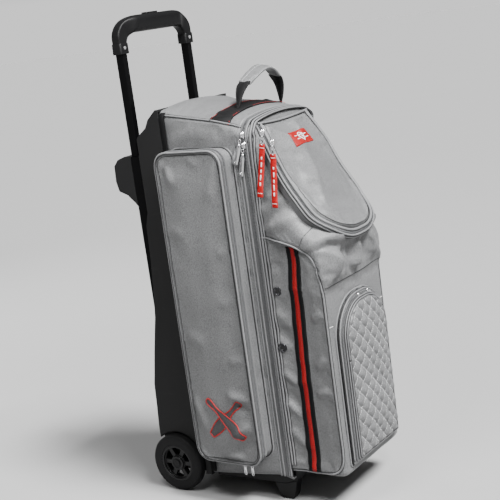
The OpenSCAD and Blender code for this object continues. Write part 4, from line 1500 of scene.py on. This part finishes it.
def quilt_wall():
    """Low wall behind the cover, with a cord where it is sewn to the front section."""
    wall, cord, dark = Shape(), Shape(), Shape()
    low_y, high_y = box_mm("quilt_gusset")[0][1] + 8.0, FRONT_Y + 1.0
    rows = []
    for t in np.linspace(0, 1, 6):
        x, z = quilt_outline(1.2 * math.sin(t * math.pi), 5.0, 220).T
        rows.append(at(x, low_y + (high_y - low_y) * t, z))
    wall.grid(rows, wrap_v=True)
    x, z = quilt_outline(-1.8, 4.0).T
    piping(cord, dark, at(x, FRONT_Y - 1.6, z), unit(at(x / 98, -0.9, (z - 262) / 170)), 1.8, True)
    wall.make("quilt_wall", FABRIC, "door", "grey_fabric", ["quilt_gusset"], 1.6)
    cord.make("quilt_foot_piping", FABRIC_PIPING, "door", "grey_fabric")
    dark.make("quilt_foot_seam", SEAM_TAPE_AND_SHADE, "door", "grey_fabric")


def inside_outline(ring, x, z):
    """Which points lie inside a closed outline."""
    inside = np.zeros(len(x), bool)
    a, b = ring, np.roll(ring, -1, 0)
    for (x0, z0), (x1, z1) in zip(a, b):
        crosses = (z0 > z) != (z1 > z)
        level = z1 - z0 if abs(z1 - z0) > 1e-9 else 1e-9
        inside ^= crosses & (x < x0 + (z - z0) * (x1 - x0) / level)
    return inside


def quilt_pulls():
    """Two short zip pulls that hang from the top of the arch."""
    low, high = box_mm("quilt_zip_pulls")
    track = QUILT_ARCH - ZIP_INSET
    flat = (QUILT_HIGH[0] - QUILT_LOW[0]) / 2 - SIDE_INSET - QUILT_ARCH
    shape = Shape()
    for x, lean in ((low[0] + 3.5, -0.45), (high[0] - 3.5, 0.45)):
        z = QUILT_HIGH[2] - QUILT_ARCH + math.sqrt(track**2 - max(abs(x) - flat, 0) ** 2)
        down = unit([lean, -0.25, -1.0])
        side = unit(np.cross(down, [0, -1.0, 0]))
        out = np.cross(side, down)
        out *= -np.sign(out[1])
        start = np.array([x, QUILT_LOW[1] + 2.6, z])
        shape.block(start, (side, down, out), (6.0, 8.0, 3.4), 0.35)
        loop = ((3, -1.6), (7, -2.4), (10, 0), (7, 2.4), (3, 1.6))
        wire = [start + down * a + side * b + out * 1.6 for a, b in loop]
        shape.tube(smooth_path(wire, 1.5), 0.6, 6)
        shape.block(start + down * 15 + out * 2.2, (side, down, out), (4.6, 13.0, 1.4), 0.25)
    shape.make("quilt_pull_metal", ZINC, "quilt_pulls", "zinc", ["quilt_zip_pulls"])


# ---- carry strap

STRAP_LEFT = [(-79, 806), (-75, 822), (-66, 843), (-54, 857), (-41, 865)]
STRAP_RIGHT = [(80, 800), (84, 822), (84, 842), (78, 856), (68, 867)]
STRAP_ARCH = [(-43, 864.5), (-26, 872), (-4, 881), (14, 886.5),
              (30, 888.5), (44, 886), (58, 879), (72, 866.5)]


def carry_strap():
    """Two webbing legs and the padded fabric grip that arches between them."""
    low, high = box_mm("strap_pad")
    middle = (low + high) / 2
    strap_legs(middle)
    strap_grip(middle)


def strap_legs(middle):
    """The legs, folded narrow at their feet, with stitched edges."""
    web, thread = Shape(), Shape()
    for side, points, power in ((-1, STRAP_LEFT, 1.5), (1, STRAP_RIGHT, 0.8)):
        x, z = smooth_path(points, 2.5).T
        path = at(middle[0] + x, middle[1], z)
        out = np.cross(tangents(path, False), [0, 1, 0])
        out[out[:, 0] * side < 0] *= -1
        width = 5 + 22 * np.clip((z - 808) / 50, 0, 1) ** power
        web.strip(path, out, width, 2.4, lift=-1.2)
        for edge in (-1, 1):
            line = path + at(0, edge * (width / 2 - 1.8), 0) + out * 1.2
            stitches(thread, line[:22], out[:22], 2.6, 1.6, 0.4)
    web.make("strap_legs", STRAP_WEB, "carry_strap", "black_webbing", ["strap_webbing"])
    thread.make("strap_leg_stitches", LINING, "carry_strap", "black_webbing")


def strap_grip(middle):
    """The padded grip with a row of stitches along each edge."""
    x, z = smooth_path(STRAP_ARCH, 2.5).T
    centre = at(middle[0] + x, middle[1], z - 1.5)
    across = np.array([0, 0.97, 0.24])      # the grip leans a little towards the front
    up = unit(np.cross(tangents(centre, False), -across))
    up[up[:, 2] < 0] *= -1
    c, s = rounded_box(0.5, 0.8, 32)
    sag = 0.9 * (1 - c**2) * (s > 0)
    rows = []
    for share, place, n in zip(np.linspace(0, 1, len(centre)), centre, up):
        end = min(1.0, 0.7 + 7 * min(share, 1 - share))
        wide = 15.8 * (0.9 + 0.1 * math.sin(share * math.pi))
        thick = 4.0 * end + 0.35 * math.sin(share * 29) * end
        rows.append(place + np.outer(c * wide, across) + np.outer(s * thick - sag, n))
    pad, seam = Shape(), Shape()
    pad.skin(rows)
    tree = pad.tree()
    for edge in (-10.5, 10.5):
        line = centre[3:-3] + edge * across + up[3:-3] * 20
        on, n = lay_on(tree, line, (0, 0, -1), 0.2)
        stitches(seam, on, n, 3.0, 1.6, 0.4)
    cover = pad.make("strap_grip", FABRIC, "carry_strap", "grey_fabric", ["strap_pad"])
    seam.make("strap_grip_stitches", GREY_THREAD, "carry_strap", "grey_fabric")


# ---- trolley grip

def grip_edge(half, foot, top, wide, high):
    """One contour of the grip, from the left leg's foot over the bar to the right leg's foot."""
    turn = np.radians(np.linspace(0, 90, 16, endpoint=False))
    left = [(-half, z) for z in np.linspace(foot, top - high, 8, endpoint=False)]
    left += [(-half + wide - wide * math.cos(a), top - high + high * math.sin(a)) for a in turn]
    bar = [(x, top) for x in np.linspace(-half + wide, half - wide, 24)]
    right = [(-x, z) for x, z in reversed(left)]
    return np.array(left + bar + right)


GRIP_LEG = 24.2        # width of the grip's legs


def grip():
    """Moulded grip: boxy legs that run in wide curves into a deeper, rounder bar."""
    low, high = box_mm("grip")
    tube = box_mm("inner_tube_left")
    y_mid = (tube[0][1] + tube[1][1]) / 2
    bar, depth, bulge = 35.0, 11.2, 12.5
    outer = grip_edge(high[0], low[2], high[2], 66, 42)
    inner = grip_edge(high[0] - GRIP_LEG, low[2], high[2] - bar, 26, 24)
    rows = []
    for o, i in zip(outer, inner):
        share = float(ease((high[0] - 14 - abs(o[0])) / 46))
        boxy = 2 / (6.0 - 3.2 * share)
        c, s = rounded_box(boxy, boxy, 40)
        centre = at((o[0] + i[0]) / 2, y_mid - bulge * share / 2, (o[1] + i[1]) / 2)
        reach = at((o[0] - i[0]) / 2, 0, (o[1] - i[1]) / 2)
        rows.append(centre + np.outer(c, reach) + np.outer(s * (depth + bulge * share / 2), [0, 1, 0]))
    shape = Shape()
    shape.skin(rows)
    shape.make("grip_moulded", GRIP, "handle", "grip_plastic", ["grip"])
    grip_ferrules(high[0] - GRIP_LEG / 2, y_mid, low[2])


def grip_ferrules(x, y, foot):
    """Collars round the feet of the grip's legs."""
    shape = Shape()
    for side in (-1, 1):
        ring = round_rect((side * x - 13.0, y - 12.2), (side * x + 13.0, y + 12.2), 3, 3)
        narrow = (ring - ring.mean(0)) * 0.93 + ring.mean(0)
        rows = [(narrow, -0.4), (ring, -0.4), (ring, 0.6), (ring, 20.0), (narrow, 21.2)]
        shape.grid([at(*line.T, foot + up) for line, up in rows], wrap_v=True)
    shape.make("grip_ferrules", GRIP, "handle", "grip_plastic")


# ---- zip sliders, pulls and ribbons

LEFT = np.array([-1.0, 0, 0])
DOWN = np.array([0.0, 0, -1])


def slider(shape, centre, down, out):
    """Zip slider body with its bridge."""
    side = np.cross(down, out)
    shape.block(centre, (side, down, out), (8.2, 12.5, 3.4), 0.25)
    shape.block(centre + out * 2.4 - down * 0.5, (side, down, out), (3.4, 10.0, 3.0), 0.35)
    bridge = [centre + out * a + down * b for a, b in ((2, -4.6), (5.6, -2.5), (5.6, 2.5), (2, 4.6))]
    shape.tube(smooth_path(bridge, 1.0), 0.9, 6)


def pull_plate(shape, pivot, down, out, length, width):
    """Long metal pull: an eye, a waist and a flat plate with a hole near its end."""
    side = np.cross(down, out)
    shape.tube(circle(pivot + down * 3.2, side * 2.6, down * 4.2, 18), 0.95, 6, True)
    s = np.linspace(9, length, 22)
    end = np.sqrt(np.clip((length + 1.5 - s) / 4, 0.2, 1))
    wide = width * (0.5 + 0.5 * ease((s - 9) / 9)) * end
    shape.strip(pivot + np.outer(s, down), np.tile(out, (len(s), 1)), wide, 2.0, lift=-1.0)
    shape.tube(circle(pivot + down * (length - 6) + out, side * 2, down * 2, 16), 0.6, 5, True)


def leaning(angle):
    """Direction of a tab that hangs down and leans towards the back."""
    a = math.radians(angle)
    return np.array([0.0, math.sin(a), -math.cos(a)])


def zip_metal():
    """Sliders and pulls of the main zip and of the zip above it."""
    for which, body in (("main", "main_slider"), ("upper", "bag")):
        node = which + "_zip_slider"
        low, high = box_mm(node)
        shape = Shape()
        slider(shape, at(-HALF_W - 3.2, *(low + high)[1:] / 2), DOWN, LEFT)
        shape.make(which + "_slider_metal", ZINC, body, "zinc", [node])
    pulls = (("main", SEAM_Y + 8, 744.5, 14, 54, 10.0), ("upper", SEAM_Y + 10, 764, 23, 52, 13.0))
    for which, y, z, lean, length, width in pulls:
        node = which + "_zip_pull"
        low, high = box_mm(node)
        shape = Shape()
        pull_plate(shape, at((low[0] + high[0]) / 2, y, z), leaning(lean), LEFT, length, width)
        shape.make(which + "_pull_metal", ZINC, which + "_pull", "zinc", [node])


def ribbons():
    """Red ribbons on metal links at the two upper sliders of the lid's zip."""
    for which, y, z, lean in (("rear", -137, 769, 8.5), ("front", -157, 749, 3)):
        node = "lid_ribbon_" + which
        low, high = box_mm(node)
        pivot = at((low[0] + high[0]) / 2, y, z)
        ribbon_link("ribbon_" + which, pivot, leaning(lean))
        ribbon_band("ribbon_" + which, node, pivot, leaning(lean))


def ribbon_link(name, pivot, down):
    """The slider and the metal loop that a ribbon hangs from."""
    link = Shape()
    side = np.cross(down, LEFT)
    slider(link, pivot + [1.0, 0, 5.0], down, LEFT)
    link.tube(circle(pivot + down * 9, side * 3.4, down * 9.5, 24), 1.1, 6, True)
    link.block(pivot + down * 5 + LEFT * 0.3, (side, down, LEFT), (4.6, 9.0, 2.2), 0.3)
    link.make(name + "_link", ZINC, name, "zinc")


def ribbon_band(name, node, pivot, down):
    """The ribbon, a little wavy, with a row of plain bars that stand for woven letters."""
    s = np.linspace(16.5, 120, 44)
    wave = 0.5 * np.sin(s / 15.0) * ease((s - 20) / 30) + 7.0 * ease((s - 20) / 90)
    path = pivot + np.outer(s, down) + np.outer(wave, LEFT)
    n = unit(LEFT - np.outer(np.gradient(wave, s), down))
    band, mark = Shape(), Shape()
    band.strip(path, n, 13.0, 0.9, lift=-0.45)
    piece = band.make(name + "_webbing", RED_SATIN, name, "red_fabric", [node])
    bars = [(44 + 12.5 * k, 0.75, (2.6, length, 0.7), 0.2) for k, length in enumerate((5, 9, 6, 11, 7))]
    bars += [(place, 0.7, (10.5, 0.8, 0.5), 0.1) for place in (24, 112)]
    for place, lift, size, taper in bars:
        centre = pivot + down * place + LEFT * (lift + np.interp(place, s, wave))
        mark.block(centre, (np.cross(down, LEFT), down, LEFT), size, taper)
    mark.make(name + "_marks", WHITE_THREAD, name, "red_fabric")


# ---- setting

SKY = 0.12             # brightness of the room overhead
HORIZON = 0.98         # brightness of its far wall, matched to the floor
SUN = 13.2             # strength of the broad key light
FLOOR = 30.0           # half of the floor's width in metres
CAMERA_AT = (-1.9145, -1.3509, 1.0186)
CAMERA_LOOK = (0.7964, 0.5668, -0.2109)
CAMERA_ROLL = math.radians(-7.89)
CAMERA_LENS = 81.95


def stage():
    """Wide pale floor under a studio sky."""
    finish = Finish("pale_floor", (0.265, 0.265, 0.265), 0.9)
    finish.rough(finish.noise(3, 2.0), 0.8, 0.95)
    mesh = bpy.data.meshes.new("floor")
    corners = [(x * FLOOR, y * FLOOR, 0) for x, y in ((-1, -1), (1, -1), (1, 1), (-1, 1))]
    mesh.from_pydata(corners, [], [(0, 1, 2, 3)])
    floor = bpy.data.objects.new("floor", mesh)
    SCENE.collection.objects.link(floor)
    mesh.materials.append(finish.mat)
    studio_sky()


def studio_sky():
    """Dim white room with a bright band along the horizon, where it meets the floor."""
    world = bpy.data.worlds.new("studio")
    world.use_nodes = True
    tree = world.node_tree
    where = tree.nodes.new("ShaderNodeTexCoord")
    height = tree.nodes.new("ShaderNodeSeparateXYZ")
    band = tree.nodes.new("ShaderNodeMapRange")
    band.interpolation_type = "SMOOTHSTEP"
    band.inputs["From Min"].default_value = 0.02
    band.inputs["From Max"].default_value = 0.07
    band.inputs["To Min"].default_value = HORIZON
    band.inputs["To Max"].default_value = SKY
    tree.links.new(where.outputs["Generated"], height.inputs[0])
    tree.links.new(height.outputs["Z"], band.inputs["Value"])
    background = tree.nodes["Background"]
    tree.links.new(band.outputs["Result"], background.inputs["Strength"])
    background.inputs["Color"].default_value = (1, 1, 1, 1)
    SCENE.world = world


def area_light(name, place, aim, size, power):
    """Rectangular lamp at place that points at aim; sizes in metres, power in watts."""
    data = bpy.data.lights.new(name, "AREA")
    data.shape = "RECTANGLE"
    data.size, data.size_y = size
    data.energy = power
    lamp = bpy.data.objects.new(name, data)
    SCENE.collection.objects.link(lamp)
    lamp.location = place
    lamp.rotation_euler = (Vector(aim) - Vector(place)).to_track_quat("-Z", "Y").to_euler()


def lights():
    """A broad key from the front and above, which also lights the floor, and softer ones beside it."""
    data = bpy.data.lights.new("key", "SUN")
    data.energy = SUN
    data.angle = math.radians(16)
    key = bpy.data.objects.new("key", data)
    SCENE.collection.objects.link(key)
    key.rotation_euler = Vector((0.05, 0.55, -0.84)).to_track_quat("-Z", "Y").to_euler()
    area_light("over", (-0.8, -0.1, 1.5), (-0.15, -0.05, 0.75), (0.5, 0.4), 18)
    area_light("pouch", (-0.8, -1.25, 1.7), (-0.12, -0.2, 0.6), (0.35, 0.35), 32)
    area_light("strip", (-1.9, -2.3, 1.1), (0, 0, 0.6), (0.10, 1.5), 9)
    area_light("rim", (-2.2, 1.6, 1.5), (0, 0.1, 0.5), (0.3, 1.6), 2)
    area_light("rear", (0.9, 2.4, 1.5), (0, 0.2, 0.5), (1.0, 1.0), 30)


def camera():
    """The photo's viewpoint; its frame is a little turned about the line of sight."""
    data = bpy.data.cameras.new("camera")
    data.sensor_width = 36.0
    data.lens = CAMERA_LENS
    cam = bpy.data.objects.new("camera", data)
    SCENE.collection.objects.link(cam)
    cam.location = CAMERA_AT
    look = Vector(CAMERA_LOOK).to_track_quat("-Z", "Y").to_matrix().to_4x4()
    cam.rotation_euler = (look @ Matrix.Rotation(CAMERA_ROLL, 4, "Z")).to_euler()
    SCENE.camera = cam


camera()
rigid_parts()
case_tree = ball_case()
top_seams(case_tree)
shell_edge()
strap_base(case_tree)
main_zip()
side_pockets()
front_section()
lid()
quilt()
carry_strap()
grip()
zip_metal()
ribbons()
stage()
lights()
